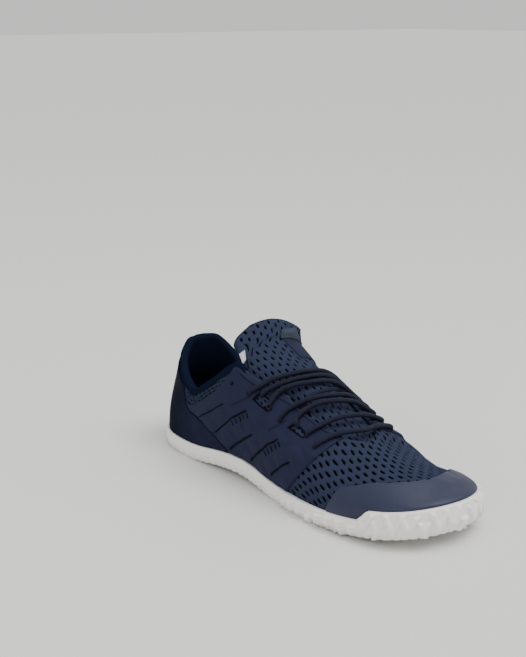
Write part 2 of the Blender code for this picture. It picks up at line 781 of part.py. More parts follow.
def tongue_face(u, v, depth):
    """Face of the tongue at a depth: u across it, v from its front end to its top."""
    across = 2 * u - 1
    covered = TONGUE_ROWS / (TONGUE_ROWS + len(TONGUE_TOP))
    if v <= covered + 1e-6:
        at = TONGUE_FRONT + (THROAT_BACK - TONGUE_FRONT) * v / covered
        return throat_point(at, across, depth)
    base = throat_point(THROAT_BACK, 0.0, 0.0)
    s = (v - covered) / (1 - covered) * len(TONGUE_TOP)
    k = min(int(s), len(TONGUE_TOP) - 1)
    s -= k

    def whole(row):
        return base + Vector((-row.back - row.edge_back * across ** 2,
                              row.aside + row.half * across,
                              row.rise - row.edge_down * across ** 2))

    before = whole(TONGUE_TOP[k - 1]) if k else throat_line(THROAT_BACK, across)
    point = before * (1 - s) + whole(TONGUE_TOP[k]) * s
    back = Vector((-sin(radians(62)), -0.35 * across, -cos(radians(62)))).normalized()
    return point + back * depth


def tongue(knit):
    outer = UPPER_WALL + TONGUE_EASE
    patch("tongue", knit, TONGUE_COLUMNS, TONGUE_ROWS + len(TONGUE_TOP), tongue_face, outer,
          outer + TONGUE_THICKNESS)


def label(finish):
    """Plain tab on the tongue near its top."""
    def place(u, v, depth):
        across = LABEL_ACROSS + (u - 0.5) * LABEL_WIDE
        return tongue_face(across, LABEL_ALONG + (v - 0.5) * LABEL_TALL, depth)

    inner = UPPER_WALL + TONGUE_EASE - LABEL_GAP
    patch("tongue_label", finish, 3, 3, place, inner - LABEL_THICKNESS, inner)


def lace_bar(number, inner, outer, across):
    """One crossing of the lace from an inner to an outer eyelet, as a round bar."""
    over = -(OVERLAY_GAP + OVERLAY_WALL + LACE_LIFT + LACE_DIAMETER / 2)
    curve = bpy.data.curves.new("lace_line", "CURVE")
    curve.dimensions = "3D"
    curve.bevel_depth = LACE_DIAMETER / 2
    curve.bevel_resolution = 1
    curve.render_resolution_u = 0
    curve.use_fill_caps = True
    spline = curve.splines.new("POLY")
    spline.points.add(LACE_STEPS)
    for i, point in enumerate(spline.points):
        s = i / LACE_STEPS
        place = throat_point(inner + (outer - inner) * s, (2 * s - 1) * across, over)
        point.co = (*place, 1)
    drawn = bpy.data.objects.new("lace_line", curve)
    mesh = bpy.data.meshes.new_from_object(drawn)
    bpy.data.objects.remove(drawn)
    mesh.materials.clear()
    bar = bpy.data.objects.new("lace_bar_%d" % number, mesh)
    bpy.context.scene.collection.objects.link(bar)
    return bar


def laces(cord):
    """Crossings of the lace over the throat, joined where they cross."""
    pitch = (EYELET_FRONT - EYELET_BACK) / (EYELET_ROWS - 1)
    inner = [EYELET_BACK + pitch * i for i in range(EYELET_ROWS)]
    outer = [at + EYELET_AHEAD for at in inner]
    ends = [(inner[-1], outer[-1], EYELET_ACROSS)]
    for i in range(EYELET_ROWS - 1):
        ends += [(inner[i], outer[i + 1], EYELET_ACROSS), (inner[i + 1], outer[i], UNDER_ACROSS)]
    bars = [lace_bar(number, *pair) for number, pair in enumerate(ends)]
    joined = bars[0]
    joined.name = "laces"
    joined.data.materials.append(cord)
    for bar in bars[1:]:
        bar.hide_render = True
        bar.display_type = "WIRE"
        combine(joined, "UNION", bar)


def remove_old():
    for old in list(bpy.data.objects):
        bpy.data.objects.remove(old)


def centre_on_floor():
    """Move every piece so that the origin is on the floor under the middle of the shoe."""
    bpy.context.view_layer.update()
    graph = bpy.context.evaluated_depsgraph_get()
    low = Vector((1, 1, 1))
    high = Vector((-1, -1, -1))
    for piece in bpy.data.objects:
        if piece.hide_render:
            continue
        seen = piece.evaluated_get(graph).to_mesh()
        for vert in seen.vertices:
            low = Vector(map(min, low, vert.co))
            high = Vector(map(max, high, vert.co))
        piece.evaluated_get(graph).to_mesh_clear()
    for piece in bpy.data.objects:
        piece.location = (-(low.x + high.x) / 2, -(low.y + high.y) / 2, -low.z)


remove_old()
WHITE = material("white rubber", (0.80, 0.79, 0.76), 0.55)
YELLOW = material("yellow rubber", (0.55, 0.31, 0.01), 0.50)
NAVY_MESH = material("navy mesh", (0.045, 0.058, 0.095), 0.85)
NAVY_FILM = material("navy film", (0.060, 0.075, 0.145), 0.50)
NAVY_PANEL = material("navy panel", (0.050, 0.055, 0.100), 0.60)
DARK_FOAM = material("dark foam", (0.012, 0.015, 0.028), 0.90)
NAVY_CORD = material("navy cord", (0.020, 0.023, 0.045), 0.75)
outsole(WHITE)
inlay("sole_inlay_bar", bar_corners, YELLOW)
inlay("sole_inlay_oval", oval_corners, YELLOW)
insole(DARK_FOAM)
upper(NAVY_MESH)
overlays(NAVY_FILM, NAVY_PANEL)
tongue(NAVY_MESH)
label(NAVY_FILM)
laces(NAVY_CORD)
centre_on_floor()
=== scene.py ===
"""Looks of a left barefoot shoe: a perforated navy mesh upper on a thin white cup sole.

A place on the upper is given by a share of the length (0 at the heel, 1 at the toe), a side (-1 is
the inner side, 1 the outer side) and a share of the way up its side.
"""
from collections import namedtuple
from math import acos, cos, floor, hypot, pi, radians, sin, sqrt

import bmesh
import bpy
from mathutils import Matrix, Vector


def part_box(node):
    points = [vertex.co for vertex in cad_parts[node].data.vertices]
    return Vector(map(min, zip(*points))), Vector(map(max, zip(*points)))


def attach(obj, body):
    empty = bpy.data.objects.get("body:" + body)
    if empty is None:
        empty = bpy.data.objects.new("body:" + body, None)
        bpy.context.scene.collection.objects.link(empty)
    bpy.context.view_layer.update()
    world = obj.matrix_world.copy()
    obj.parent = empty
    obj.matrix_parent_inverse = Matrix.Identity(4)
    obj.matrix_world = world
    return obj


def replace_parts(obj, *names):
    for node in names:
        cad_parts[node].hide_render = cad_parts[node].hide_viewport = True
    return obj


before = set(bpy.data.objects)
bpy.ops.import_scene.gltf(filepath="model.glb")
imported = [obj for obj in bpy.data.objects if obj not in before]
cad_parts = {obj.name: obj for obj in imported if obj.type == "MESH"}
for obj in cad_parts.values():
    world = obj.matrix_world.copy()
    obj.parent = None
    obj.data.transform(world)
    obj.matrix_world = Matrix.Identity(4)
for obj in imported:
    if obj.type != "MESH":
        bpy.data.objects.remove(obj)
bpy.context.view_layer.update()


# Camera: it looks down on the inner side of the shoe from ahead of the toe, as the photograph does.
# The image is 526 by 657, so that the lens's field is measured over the height.
camera_data = bpy.data.cameras.new("camera")
camera_data.lens = 71.2
camera_data.sensor_width = 36
camera = bpy.data.objects.new("camera", camera_data)
camera.location = (0.6351, -0.5417, 0.312)
camera.rotation_euler = (radians(76), 0, radians(51.7))
bpy.context.scene.collection.objects.link(camera)
bpy.context.scene.camera = camera


# Floor and light: a plain pale studio floor under large soft lamps. The key light comes from above
# and from the right of the picture, and the world fills the shadows.
FLOOR_COLOUR = (0.76, 0.76, 0.74)
FLOOR_REACH = 12.0


def principled(name, colour, roughness, specular=0.5):
    """A material with its Principled shader, which the caller's nodes then feed."""
    made = bpy.data.materials.new(name)
    made.use_nodes = True
    shader = made.node_tree.nodes["Principled BSDF"]
    shader.inputs["Base Color"].default_value = (*colour, 1)
    shader.inputs["Roughness"].default_value = roughness
    shader.inputs["Specular IOR Level"].default_value = specular
    return made, made.node_tree, shader


def add_node(tree, kind, inputs=None, **settings):
    """A node with its settings, and with values or links for the inputs that are named."""
    made = tree.nodes.new(kind)
    for key, value in settings.items():
        setattr(made, key, value)
    for key, value in (inputs or {}).items():
        if isinstance(value, bpy.types.NodeSocket):
            tree.links.new(value, made.inputs[key])
        else:
            made.inputs[key].default_value = value
    return made


def math_node(tree, operation, first, second=0.0):
    return add_node(tree, "ShaderNodeMath", {0: first, 1: second}, operation=operation).outputs[0]


bm = bmesh.new()
bmesh.ops.create_grid(bm, x_segments=8, y_segments=8, size=FLOOR_REACH)
floor_mesh = bpy.data.meshes.new("floor")
bm.to_mesh(floor_mesh)
bm.free()
floor_piece = bpy.data.objects.new("floor", floor_mesh)
bpy.context.scene.collection.objects.link(floor_piece)
floor_finish, floor_tree, floor_shader = principled("studio floor", FLOOR_COLOUR, 0.55)
mottle = add_node(floor_tree, "ShaderNodeTexNoise", {"Scale": 2.0, "Detail": 3.0})
tone = add_node(floor_tree, "ShaderNodeMapRange", {"Value": mottle.outputs[0], 3: 0.50, 4: 0.60})
floor_tree.links.new(tone.outputs[0], floor_shader.inputs["Roughness"])
floor_mesh.materials.append(floor_finish)

Lamp = namedtuple("Lamp", "name kind place size power")
LAMPS = [
    Lamp("key", "SUN", (0.55, 0.45, 1.2), radians(40), 1.7),
    Lamp("fill", "AREA", (0.7, -1.7, 1.1), 1.5, 9.0),
    Lamp("top", "AREA", (0.2, 0.3, 1.6), 1.0, 7.0),
]
for lamp in LAMPS:
    light = bpy.data.lights.new(lamp.name, lamp.kind)
    light.energy = lamp.power
    if lamp.kind == "SUN":
        light.angle = lamp.size
    else:
        light.size = lamp.size
    light_piece = bpy.data.objects.new(lamp.name, light)
    light_piece.location = lamp.place
    light_piece.rotation_euler = (-Vector(lamp.place)).to_track_quat("-Z", "Y").to_euler()
    bpy.context.scene.collection.objects.link(light_piece)
world = bpy.data.worlds.new("studio")
world.use_nodes = True
world.node_tree.nodes["Background"].inputs["Color"].default_value = (0.80, 0.80, 0.79, 1)
world.node_tree.nodes["Background"].inputs["Strength"].default_value = 0.95
bpy.context.scene.world = world


# Outsole: one moulding of white rubber with zigzag lugs below and slanted ribs round the forefoot.
# It is the solid of the frame. Its finish is matt and a little yellow, and darker and browner in
# patches near the floor.
WHITE_RUBBER = (0.88, 0.87, 0.835)
FLOOR_EDGE_BROWN = (0.46, 0.42, 0.36)


def grain_group():
    """Fine irregular grain: a height for bump and a tone to mix colours with."""
    group = bpy.data.node_groups.new("grain", "ShaderNodeTree")
    face = group.interface
    face.new_socket("Place", in_out="INPUT", socket_type="NodeSocketVector")
    face.new_socket("Scale", in_out="INPUT", socket_type="NodeSocketFloat")
    face.new_socket("Height", in_out="OUTPUT", socket_type="NodeSocketFloat")
    face.new_socket("Tone", in_out="OUTPUT", socket_type="NodeSocketFloat")
    start = group.nodes.new("NodeGroupInput")
    end = group.nodes.new("NodeGroupOutput")
    fine = add_node(group, "ShaderNodeTexNoise", {"Vector": start.outputs[0],
                                                  "Scale": start.outputs[1], "Detail": 4.0})
    wide_scale = math_node(group, "MULTIPLY", start.outputs[1], 0.04)
    wide = add_node(group, "ShaderNodeTexNoise", {"Vector": start.outputs[0],
                                                  "Scale": wide_scale, "Detail": 3.0})
    group.links.new(fine.outputs[0], end.inputs[0])
    group.links.new(wide.outputs[0], end.inputs[1])
    return group


GRAIN = grain_group()


def object_place(tree):
    return add_node(tree, "ShaderNodeTexCoord").outputs["Object"]


def add_grain(tree, place, scale):
    """Height and tone outputs of the grain group."""
    made = add_node(tree, "ShaderNodeGroup", node_tree=GRAIN)
    tree.links.new(place, made.inputs["Place"])
    made.inputs["Scale"].default_value = scale
    return made.outputs["Height"], made.outputs["Tone"]


def mix_colour(tree, share_of_second, first, second):
    made = add_node(tree, "ShaderNodeMix", data_type="RGBA")
    for socket, value in ((made.inputs["Factor"], share_of_second), (made.inputs[6], first),
                          (made.inputs[7], second)):
        if isinstance(value, bpy.types.NodeSocket):
            tree.links.new(value, socket)
        else:
            socket.default_value = value if isinstance(value, float) else (*value, 1)
    return made.outputs[2]


def map_range(tree, value, low, high, to_low, to_high, kind="SMOOTHSTEP"):
    made = add_node(tree, "ShaderNodeMapRange", {"Value": value, 1: low, 2: high, 3: to_low,
                                                 4: to_high}, interpolation_type=kind)
    return made.outputs[0]


def bump(tree, shader, height, distance, strength=1.0):
    made = add_node(tree, "ShaderNodeBump", {"Height": height, "Distance": distance,
                                             "Strength": strength})
    tree.links.new(made.outputs[0], shader.inputs["Normal"])
    return made


def colour_with(tree, shader, share_of_second, first, second):
    tree.links.new(mix_colour(tree, share_of_second, first, second), shader.inputs["Base Color"])


def roughen(tree, shader, tone, low, high):
    """Let the roughness wander with the wide tone of the grain."""
    tree.links.new(map_range(tree, tone, 0.3, 0.7, low, high), shader.inputs["Roughness"])


def rubber(name, colour, darken_reach):
    made, tree, shader = principled(name, colour, 0.52)
    place = object_place(tree)
    height, tone = add_grain(tree, place, 900.0)
    level = add_node(tree, "ShaderNodeSeparateXYZ", {0: place}).outputs["Z"]
    # Darker and browner in patches up to a set height over the floor.
    low = map_range(tree, level, 0.0, darken_reach, 0.55, 0.0)
    patchy = math_node(tree, "MULTIPLY", low, map_range(tree, tone, 0.40, 0.62, 0.15, 1.0))
    colour_with(tree, shader, patchy, colour, FLOOR_EDGE_BROWN)
    roughen(tree, shader, tone, 0.46, 0.62)
    bump(tree, shader, height, 0.00006)
    return made


def finish_node(name, finish):
    """Give a solid of the frame its finish."""
    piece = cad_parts[name]
    for slot in piece.material_slots:
        slot.material = finish
    return piece


finish_node("outsole", rubber("white rubber", WHITE_RUBBER, 0.007))


# Inlays: two yellow rubber plates set in raised frames in the tread, a bar under the waist and an
# oval under the heel. They stay the solids of the frame, with fine concentric ribs and no letters.
YELLOW_RUBBER = (0.56, 0.31, 0.012)
YELLOW_GROOVE_SHADE = (0.33, 0.16, 0.006)
INLAY_RIB_SCALE = 110.0


def inlay_rubber(node_name):
    low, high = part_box(node_name)
    made, tree, shader = principled(node_name + " rubber", YELLOW_RUBBER, 0.48)
    centre = (Vector(low) + Vector(high)) / 2
    place = add_node(tree, "ShaderNodeMapping", {"Vector": object_place(tree),
                                                 "Location": tuple(-centre)}).outputs[0]
    ribs = add_node(tree, "ShaderNodeTexWave", {"Vector": place, "Scale": INLAY_RIB_SCALE},
                    wave_type="RINGS", rings_direction="Z").outputs["Fac"]
    height, tone = add_grain(tree, place, 900.0)
    # The grooves between the ribs are painted darker: painted shade in the recesses.
    groove = map_range(tree, ribs, 0.0, 0.4, 0.5, 0.0)
    colour_with(tree, shader, groove, YELLOW_RUBBER, YELLOW_GROOVE_SHADE)
    roughen(tree, shader, tone, 0.42, 0.56)
    bump(tree, shader, ribs, 0.0004)
    return made


for inlay_name in ("sole_inlay_bar", "sole_inlay_oval"):
    finish_node(inlay_name, inlay_rubber(inlay_name))


# Insole: a loose sheet of dark foam with a cloth face, on the footbed. It is the frame's solid.
DARK_FOAM = (0.004, 0.005, 0.010)
FOAM_LIGHT = (0.009, 0.011, 0.019)


def foam_cloth():
    made, tree, shader = principled("insole cloth", DARK_FOAM, 0.9, 0.0)
    height, tone = add_grain(tree, object_place(tree), 2600.0)
    colour_with(tree, shader, height, DARK_FOAM, FOAM_LIGHT)
    roughen(tree, shader, tone, 0.84, 0.96)
    bump(tree, shader, height, 0.0002)
    return made


finish_node("insole", foam_cloth())


# Upper: one hollow shell of knitted navy mesh, lasted over the foot and let into the cup of the
# sole. Rows of long holes run over the toes. Panels are fused on it, and its collar is padded.
# Its form is that of the solid: ribs from the sole's edge to the collar, the throat or the ridge.
SHOE_LENGTH = 0.285
BALL_WIDTH = 0.105
WAIST_WIDTH = 0.088
HEEL_WIDTH = 0.080
HEEL_HEIGHT = 0.072
INSTEP_HEIGHT = 0.077
TOE_HEIGHT = 0.040
SIDE_HEIGHT = 0.0108
BUMPER_HEIGHT = 0.0175
FOOTBED_HEIGHT = 0.0060
TOE_SPRING = 0.0088
HEEL_LIFT = 0.0010
ARCH_LIFT = 0.0042
UPPER_WALL = 0.0020
INSOLE_INSET = 0.0054
FOOT_INSET = 0.0031
SPRING_FROM = 0.69
HEEL_LIFT_TO = 0.08
ARCH_AT = 0.39
ARCH_REACH = 0.19
FOOT_RISES_FROM = 0.800
FOOT_FULL = 0.872
THROAT_FRONT = 0.745
THROAT_BACK = 0.420
THROAT_ROUND = 0.06
THROAT_ARCH = 0.44
FOOT_SPREAD = radians(9)
SOLE_COLUMNS = 72

Outline = namedtuple("Outline", "at lateral medial")
OUTLINE = [
    Outline(0.000, 0.000, 0.000),
    Outline(0.010, 0.194, 0.156),
    Outline(0.030, 0.306, 0.250),
    Outline(0.060, 0.398, 0.344),
    Outline(0.100, 0.462, 0.425),
    Outline(0.160, 0.512, 0.472),
    Outline(0.240, 0.548, 0.473),
    Outline(0.340, 0.556, 0.442),
    Outline(0.440, 0.563, 0.432),
    Outline(0.540, 0.550, 0.442),
    Outline(0.630, 0.538, 0.453),
    Outline(0.700, 0.537, 0.463),
    Outline(0.760, 0.530, 0.466),
    Outline(0.820, 0.497, 0.452),
    Outline(0.880, 0.438, 0.419),
    Outline(0.930, 0.362, 0.365),
    Outline(0.965, 0.271, 0.286),
    Outline(0.990, 0.148, 0.162),
    Outline(1.000, 0.000, 0.000),
]
Rib = namedtuple("Rib", "at edge_at centre half height drop lean inner outer")
RIBS = [
    Rib(0.000, 0.034, 0.02, 0.000, 0.980, 0.00, 9, 0.42, 0.42),
    Rib(0.010, 0.036, 0.02, 0.060, 0.970, -0.02, 9, 0.42, 0.42),
    Rib(0.030, 0.045, 0.03, 0.125, 0.935, -0.06, 9, 0.42, 0.42),
    Rib(0.060, 0.068, 0.03, 0.220, 0.880, -0.10, 9, 0.42, 0.42),
    Rib(0.100, 0.105, 0.02, 0.305, 0.800, -0.05, 9, 0.42, 0.42),
    Rib(0.160, 0.160, 0.00, 0.362, 0.694, 0.03, 10, 0.42, 0.42),
    Rib(0.200, 0.197, 0.00, 0.378, 0.640, 0.03, 11, 0.42, 0.42),
    Rib(0.240, 0.237, 0.00, 0.378, 0.715, 0.03, 13, 0.42, 0.42),
    Rib(0.300, 0.295, 0.00, 0.359, 0.847, 0.02, 17, 0.43, 0.43),
    Rib(0.350, 0.338, 0.00, 0.333, 0.958, 0.01, 21, 0.45, 0.45),
    Rib(0.385, 0.365, 0.00, 0.307, 1.005, 0.00, 25, 0.46, 0.46),
    Rib(0.420, 0.397, 0.00, 0.300, 0.955, 0.00, 30, 0.47, 0.47),
    Rib(0.460, 0.446, 0.00, 0.273, 0.905, 0.00, 36, 0.48, 0.47),
    Rib(0.540, 0.534, 0.00, 0.214, 0.942, 0.00, 45, 0.48, 0.46),
    Rib(0.620, 0.620, -0.02, 0.176, 1.002, 0.00, 57, 0.50, 0.44),
    Rib(0.700, 0.700, -0.04, 0.143, 1.100, 0.00, 72, 0.50, 0.41),
    Rib(0.745, 0.745, -0.07, 0.120, 1.145, 0.00, 90, 0.50, 0.38),
    Rib(0.800, 0.798, -0.09, 0.000, 1.065, 0.00, 90, 0.50, 0.36),
    Rib(0.860, 0.853, -0.10, 0.000, 0.965, 0.00, 90, 0.50, 0.34),
    Rib(0.910, 0.895, -0.08, 0.000, 0.895, 0.00, 90, 0.49, 0.36),
    Rib(0.950, 0.920, -0.05, 0.000, 0.845, 0.00, 90, 0.49, 0.40),
    Rib(0.980, 0.933, -0.02, 0.000, 0.810, 0.00, 90, 0.50, 0.46),
    Rib(1.000, 0.938, 0.00, 0.000, 0.795, 0.00, 90, 0.50, 0.50),
]


def share(angle):
    """Share of the length at an angle round the outline: 0 at the heel, pi at the toe."""
    return (1 - cos(angle)) / 2


def angle_at(at, side):
    angle = acos(1 - 2 * min(max(at, 0.0), 1.0))
    return angle if side < 0 else 2 * pi - angle


def side_of(angle):
    return -1 if sin(angle) >= 0 else 1


def run(at, knots):
    """Smooth run through (share, value) knots, level before the first and after the last."""
    if at <= knots[0][0]:
        return knots[0][1]
    for (start, low), (end, high) in zip(knots, knots[1:]):
        if at < end:
            s = (at - start) / (end - start)
            return low + (high - low) * s * s * (3 - 2 * s)
    return knots[-1][1]


def fade_in(at, start, end):
    """0 up to the start and 1 from the end on, smooth between."""
    return run(at, [(start, 0.0), (end, 1.0)])


def fade_out(at, start, end):
    return run(at, [(start, 1.0), (end, 0.0)])


def line(at, knots):
    """Straight runs through (share, value) knots, level beyond them."""
    if at <= knots[0][0]:
        return knots[0][1]
    for (start, low), (end, high) in zip(knots, knots[1:]):
        if at < end:
            return low + (high - low) * (at - start) / (end - start)
    return knots[-1][1]


def width_at(at):
    return run(at, [(0.16, HEEL_WIDTH), (0.40, WAIST_WIDTH), (0.70, BALL_WIDTH)])


def height_at(at):
    return run(at, [(0.14, HEEL_HEIGHT), (0.42, INSTEP_HEIGHT), (0.78, TOE_HEIGHT)])


def read(table, column, at):
    """A column of a table at a share of the length, on one smooth curve through its rows."""
    knots = [acos(1 - 2 * row.at) for row in table]
    values = [getattr(row, column) for row in table]
    here = acos(1 - 2 * min(max(at, 0.0), 1.0))
    last = len(knots) - 1
    i = 0
    while i < last - 1 and here > knots[i + 1]:
        i += 1

    def slope(k):
        before = max(k - 1, 0)
        after = min(k + 1, last)
        if before == k or after == k:
            return (values[after] - values[before]) / (knots[after] - knots[before])
        left = (values[k] - values[before]) / (knots[k] - knots[before])
        right = (values[after] - values[k]) / (knots[after] - knots[k])
        weight = (knots[k] - knots[before]) / (knots[after] - knots[before])
        return left * (1 - weight) + right * weight

    gap = knots[i + 1] - knots[i]
    s = (here - knots[i]) / gap
    return ((1 + 2 * s) * (1 - s) ** 2 * values[i] + s * (1 - s) ** 2 * gap * slope(i)
            + s * s * (3 - 2 * s) * values[i + 1] - s * s * (1 - s) * gap * slope(i + 1))


def outline(angle, inset=0.0):
    """Point of the sole's outline seen from above, moved in by an inset."""
    if inset:
        step = 0.01
        along = outline(angle + step) - outline(angle - step)
        outward = Vector((along.y, -along.x, 0)).normalized()
        return outline(angle) - outward * inset
    at = share(angle)
    side = side_of(angle)
    column = "medial" if side < 0 else "lateral"
    return Vector((at * SHOE_LENGTH, side * read(OUTLINE, column, at) * width_at(at), 0))


def outward_at(angle):
    return (outline(angle) - outline(angle, 0.001)).normalized()


def ground(at):
    """Height of the sole's bottom line over the floor."""
    toe = TOE_SPRING * max(0.0, (at - SPRING_FROM) / (1 - SPRING_FROM)) ** 2
    heel = HEEL_LIFT * max(0.0, 1 - at / HEEL_LIFT_TO) ** 2
    reach = min(abs(at - ARCH_AT) / ARCH_REACH, 1.0)
    return toe + heel + ARCH_LIFT * (1 + cos(pi * reach)) / 2


def rib_foot(at):
    return ground(at) + run(at, [(FOOT_RISES_FROM, SIDE_HEIGHT), (FOOT_FULL, BUMPER_HEIGHT)])


def edge(angle):
    """Where a rib of the upper ends: on the collar, the throat or the ridge."""
    at = share(angle)
    half = read(RIBS, "half", at) * width_at(at)
    half *= sqrt(1 - (1 - min(max(0.0, THROAT_FRONT - at) / THROAT_ROUND, 1.0)) ** 2)
    height = read(RIBS, "height", at)
    if side_of(angle) > 0:
        height -= read(RIBS, "drop", at)
    return Vector((read(RIBS, "edge_at", at) * SHOE_LENGTH,
                   read(RIBS, "centre", at) * width_at(at) + side_of(angle) * max(half, 0.0),
                   height * height_at(at)))


def insole_corner():
    """Lowest corner of the insole before the shoe is centred."""
    points = [outline(2 * pi * i / SOLE_COLUMNS, INSOLE_INSET) for i in range(SOLE_COLUMNS)]
    return Vector((min(point.x for point in points), min(point.y for point in points), 0))


SHIFT = Vector(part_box("insole")[0]) - insole_corner()
SHIFT.z = 0


def rib_controls(angle):
    """The four control points of a rib's outer face, in the frame."""
    at = share(angle)
    foot = outline(angle, FOOT_INSET)
    foot.z = rib_foot(at)
    top = edge(angle)
    spread = FOOT_SPREAD * fade_in(at, 0.08, 0.30)
    start = outward_at(angle) * sin(spread) + Vector((0, 0, cos(spread)))
    lean = radians(min(read(RIBS, "lean", at), 90))
    inward = top - foot
    inward.z = 0
    inward.normalize()
    step = 0.02
    ahead = edge(angle_at(min(at + step, 1), side_of(angle)))
    behind = edge(angle_at(max(at - step, 0), side_of(angle)))
    slope = (ahead.z - behind.z) / max(ahead.x - behind.x, 0.001)
    climb = slope * inward.x if lean > radians(60) else 0.0
    finish = (inward * sin(lean) + Vector((0, 0, cos(lean) + climb * sin(lean)))).normalized()
    column = "inner" if side_of(angle) < 0 else "outer"
    chord = (top - foot) * read(RIBS, column, at)
    points = (foot, foot + start * chord.dot(start), top - finish * chord.dot(finish), top)
    return [point + SHIFT for point in points]


RIB_CELLS = 720
CONTROLS = [rib_controls(2 * pi * k / RIB_CELLS) for k in range(RIB_CELLS)]


def controls_at(angle):
    place = (angle / (2 * pi)) % 1.0 * RIB_CELLS
    k = int(place)
    before = CONTROLS[k % RIB_CELLS]
    after = CONTROLS[(k + 1) % RIB_CELLS]
    return [a.lerp(b, place - k) for a, b in zip(before, after)]


def bezier(p0, p1, p2, p3, s):
    return (p0 * (1 - s) ** 3 + p1 * 3 * s * (1 - s) ** 2 + p2 * 3 * s * s * (1 - s)
            + p3 * s ** 3)


def rib_point(angle, up):
    """Outer face of the upper: up is 0 at the sole's rim, 1 at the edge and -1 on the footbed."""
    controls = controls_at(angle)
    if up <= 0:
        at = share(angle)
        return controls[0] + Vector((0, 0, up * (rib_foot(at) - ground(at) - FOOTBED_HEIGHT)))
    return bezier(*controls, up)


def rib_normal(angle, up):
    """Outward direction square to the upper's outer face."""
    if up <= 0:
        return outward_at(angle)
    at = share(angle)
    step = 0.012
    if up > 0.9999 and at >= THROAT_FRONT:
        ridge = (controls_at(angle_at(min(at + step, 1), -1))[3]
                 - controls_at(angle_at(at - step, -1))[3])
        return Vector((-ridge.z, 0, ridge.x)).normalized()
    around = rib_point(angle + step, up) - rib_point(angle - step, up)
    upward = rib_point(angle, min(up + step, 1)) - rib_point(angle, max(up - step, 0.001))
    return around.cross(upward).normalized()


def over(angle, up, proud):
    """Point over the upper's outer face, or under it where proud is negative."""
    return rib_point(angle, up) + rib_normal(angle, up) * proud


RIB_STEPS = 16
RIB_LENGTHS = []
for rib_controls_here in CONTROLS:
    steps = [bezier(*rib_controls_here, k / RIB_STEPS) for k in range(RIB_STEPS + 1)]
    RIB_LENGTHS.append([0.0])
    for low_end, high_end in zip(steps, steps[1:]):
        RIB_LENGTHS[-1].append(RIB_LENGTHS[-1][-1] + (high_end - low_end).length)


def rib_length(angle, up=1.0):
    """Length along a rib from the sole's rim up to a place."""
    place = (angle / (2 * pi)) % 1.0 * RIB_CELLS
    k = int(place)
    j = min(int(max(up, 0.0) * RIB_STEPS), RIB_STEPS - 1)
    rest = up * RIB_STEPS - j
    ends = [table[j] + (table[j + 1] - table[j]) * rest
            for table in (RIB_LENGTHS[k % RIB_CELLS], RIB_LENGTHS[(k + 1) % RIB_CELLS])]
    return ends[0] + (ends[1] - ends[0]) * (place - k)


RIDGE_STARTS = 0.765
GIRTH_PLACES = (0.0, 0.10, 0.20, 0.30, 0.40, 0.50, 0.60, 0.70, RIDGE_STARTS)


def half_girth(at, side):
    """Length over the shoe from the rim to the ridge, or to the middle of the open throat."""
    angle = angle_at(at, side)
    across = controls_at(angle)[3].y - controls_at(angle_at(at, -side))[3].y
    return rib_length(angle) + abs(across) / 2


GIRTHS = {side: [(at, half_girth(at, side)) for at in GIRTH_PLACES] for side in (-1, 1)}


def cloth_place(angle, up):
    """A place of the upper on its flat cloth, in metres: along, and out from the ridge."""
    at = share(angle)
    side = side_of(angle)
    whole = rib_length(angle) if at > RIDGE_STARTS else line(at, GIRTHS[side])
    return at * SHOE_LENGTH, side * (whole - rib_length(angle, up))


# How the holes of the mesh lie: their pitch along and across, half sizes and slant
Holes = namedtuple("Holes", "along across half_long half_wide slant")
VAMP_HOLES = Holes(0.0078, 0.0044, 0.0022, 0.00084, 0.0)
DEEP = 0.0010


def in_hole(u, v, holes):
    """1 in the middle of a hole of the mesh, 0 outside it."""
    row = floor(v / holes.across)
    x = ((u / holes.along + 0.5 * (row % 2)) % 1.0 - 0.5) * holes.along
    y = (v / holes.across - row - 0.5) * holes.across
    x -= holes.slant * y
    far = (x / holes.half_long) ** 2 + (y / holes.half_wide) ** 2
    return 1 - min(max((far - 0.5) / 1.0, 0.0), 1.0)


def holes_group():
    """The holes of a mesh from a flat place in metres: 1 in a hole and 0 outside."""
    group = bpy.data.node_groups.new("mesh holes", "ShaderNodeTree")
    names = ("Place", "Along", "Across", "Half Long", "Half Wide", "Slant")
    for name in names:
        kind = "NodeSocketVector" if name == "Place" else "NodeSocketFloat"
        group.interface.new_socket(name, in_out="INPUT", socket_type=kind)
    group.interface.new_socket("Hole", in_out="OUTPUT", socket_type="NodeSocketFloat")
    start = group.nodes.new("NodeGroupInput").outputs
    end = group.nodes.new("NodeGroupOutput")
    flat = add_node(group, "ShaderNodeSeparateXYZ", {0: start["Place"]}).outputs
    a = math_node(group, "DIVIDE", flat[0], start["Along"])
    b = math_node(group, "DIVIDE", flat[1], start["Across"])
    row = math_node(group, "FLOOR", b)
    odd = math_node(group, "FLOORED_MODULO", row, 2.0)
    shifted = math_node(group, "ADD", a, math_node(group, "MULTIPLY", odd, 0.5))
    fx = math_node(group, "SUBTRACT", math_node(group, "FLOORED_MODULO", shifted, 1.0), 0.5)
    fy = math_node(group, "SUBTRACT", math_node(group, "SUBTRACT", b, row), 0.5)
    y = math_node(group, "MULTIPLY", fy, start["Across"])
    x = math_node(group, "SUBTRACT", math_node(group, "MULTIPLY", fx, start["Along"]),
                  math_node(group, "MULTIPLY", start["Slant"], y))
    far_x = math_node(group, "POWER", math_node(group, "DIVIDE", x, start["Half Long"]), 2.0)
    far_y = math_node(group, "POWER", math_node(group, "DIVIDE", y, start["Half Wide"]), 2.0)
    far = math_node(group, "ADD", far_x, far_y)
    group.links.new(map_range(group, far, 0.75, 1.25, 1.0, 0.0), end.inputs[0])
    return group


HOLES = holes_group()
KNIT = (0.0245, 0.0310, 0.0610)
KNIT_LIGHT = (0.048, 0.061, 0.110)
# Near black painted into the holes of the mesh: painted shade of the dark inside seen through them.
HOLE_SHADE = (0.0003, 0.0004, 0.0008)
LINING = (0.0050, 0.0080, 0.0200)


def uv_place(tree, layer):
    return add_node(tree, "ShaderNodeUVMap", uv_map=layer).outputs[0]


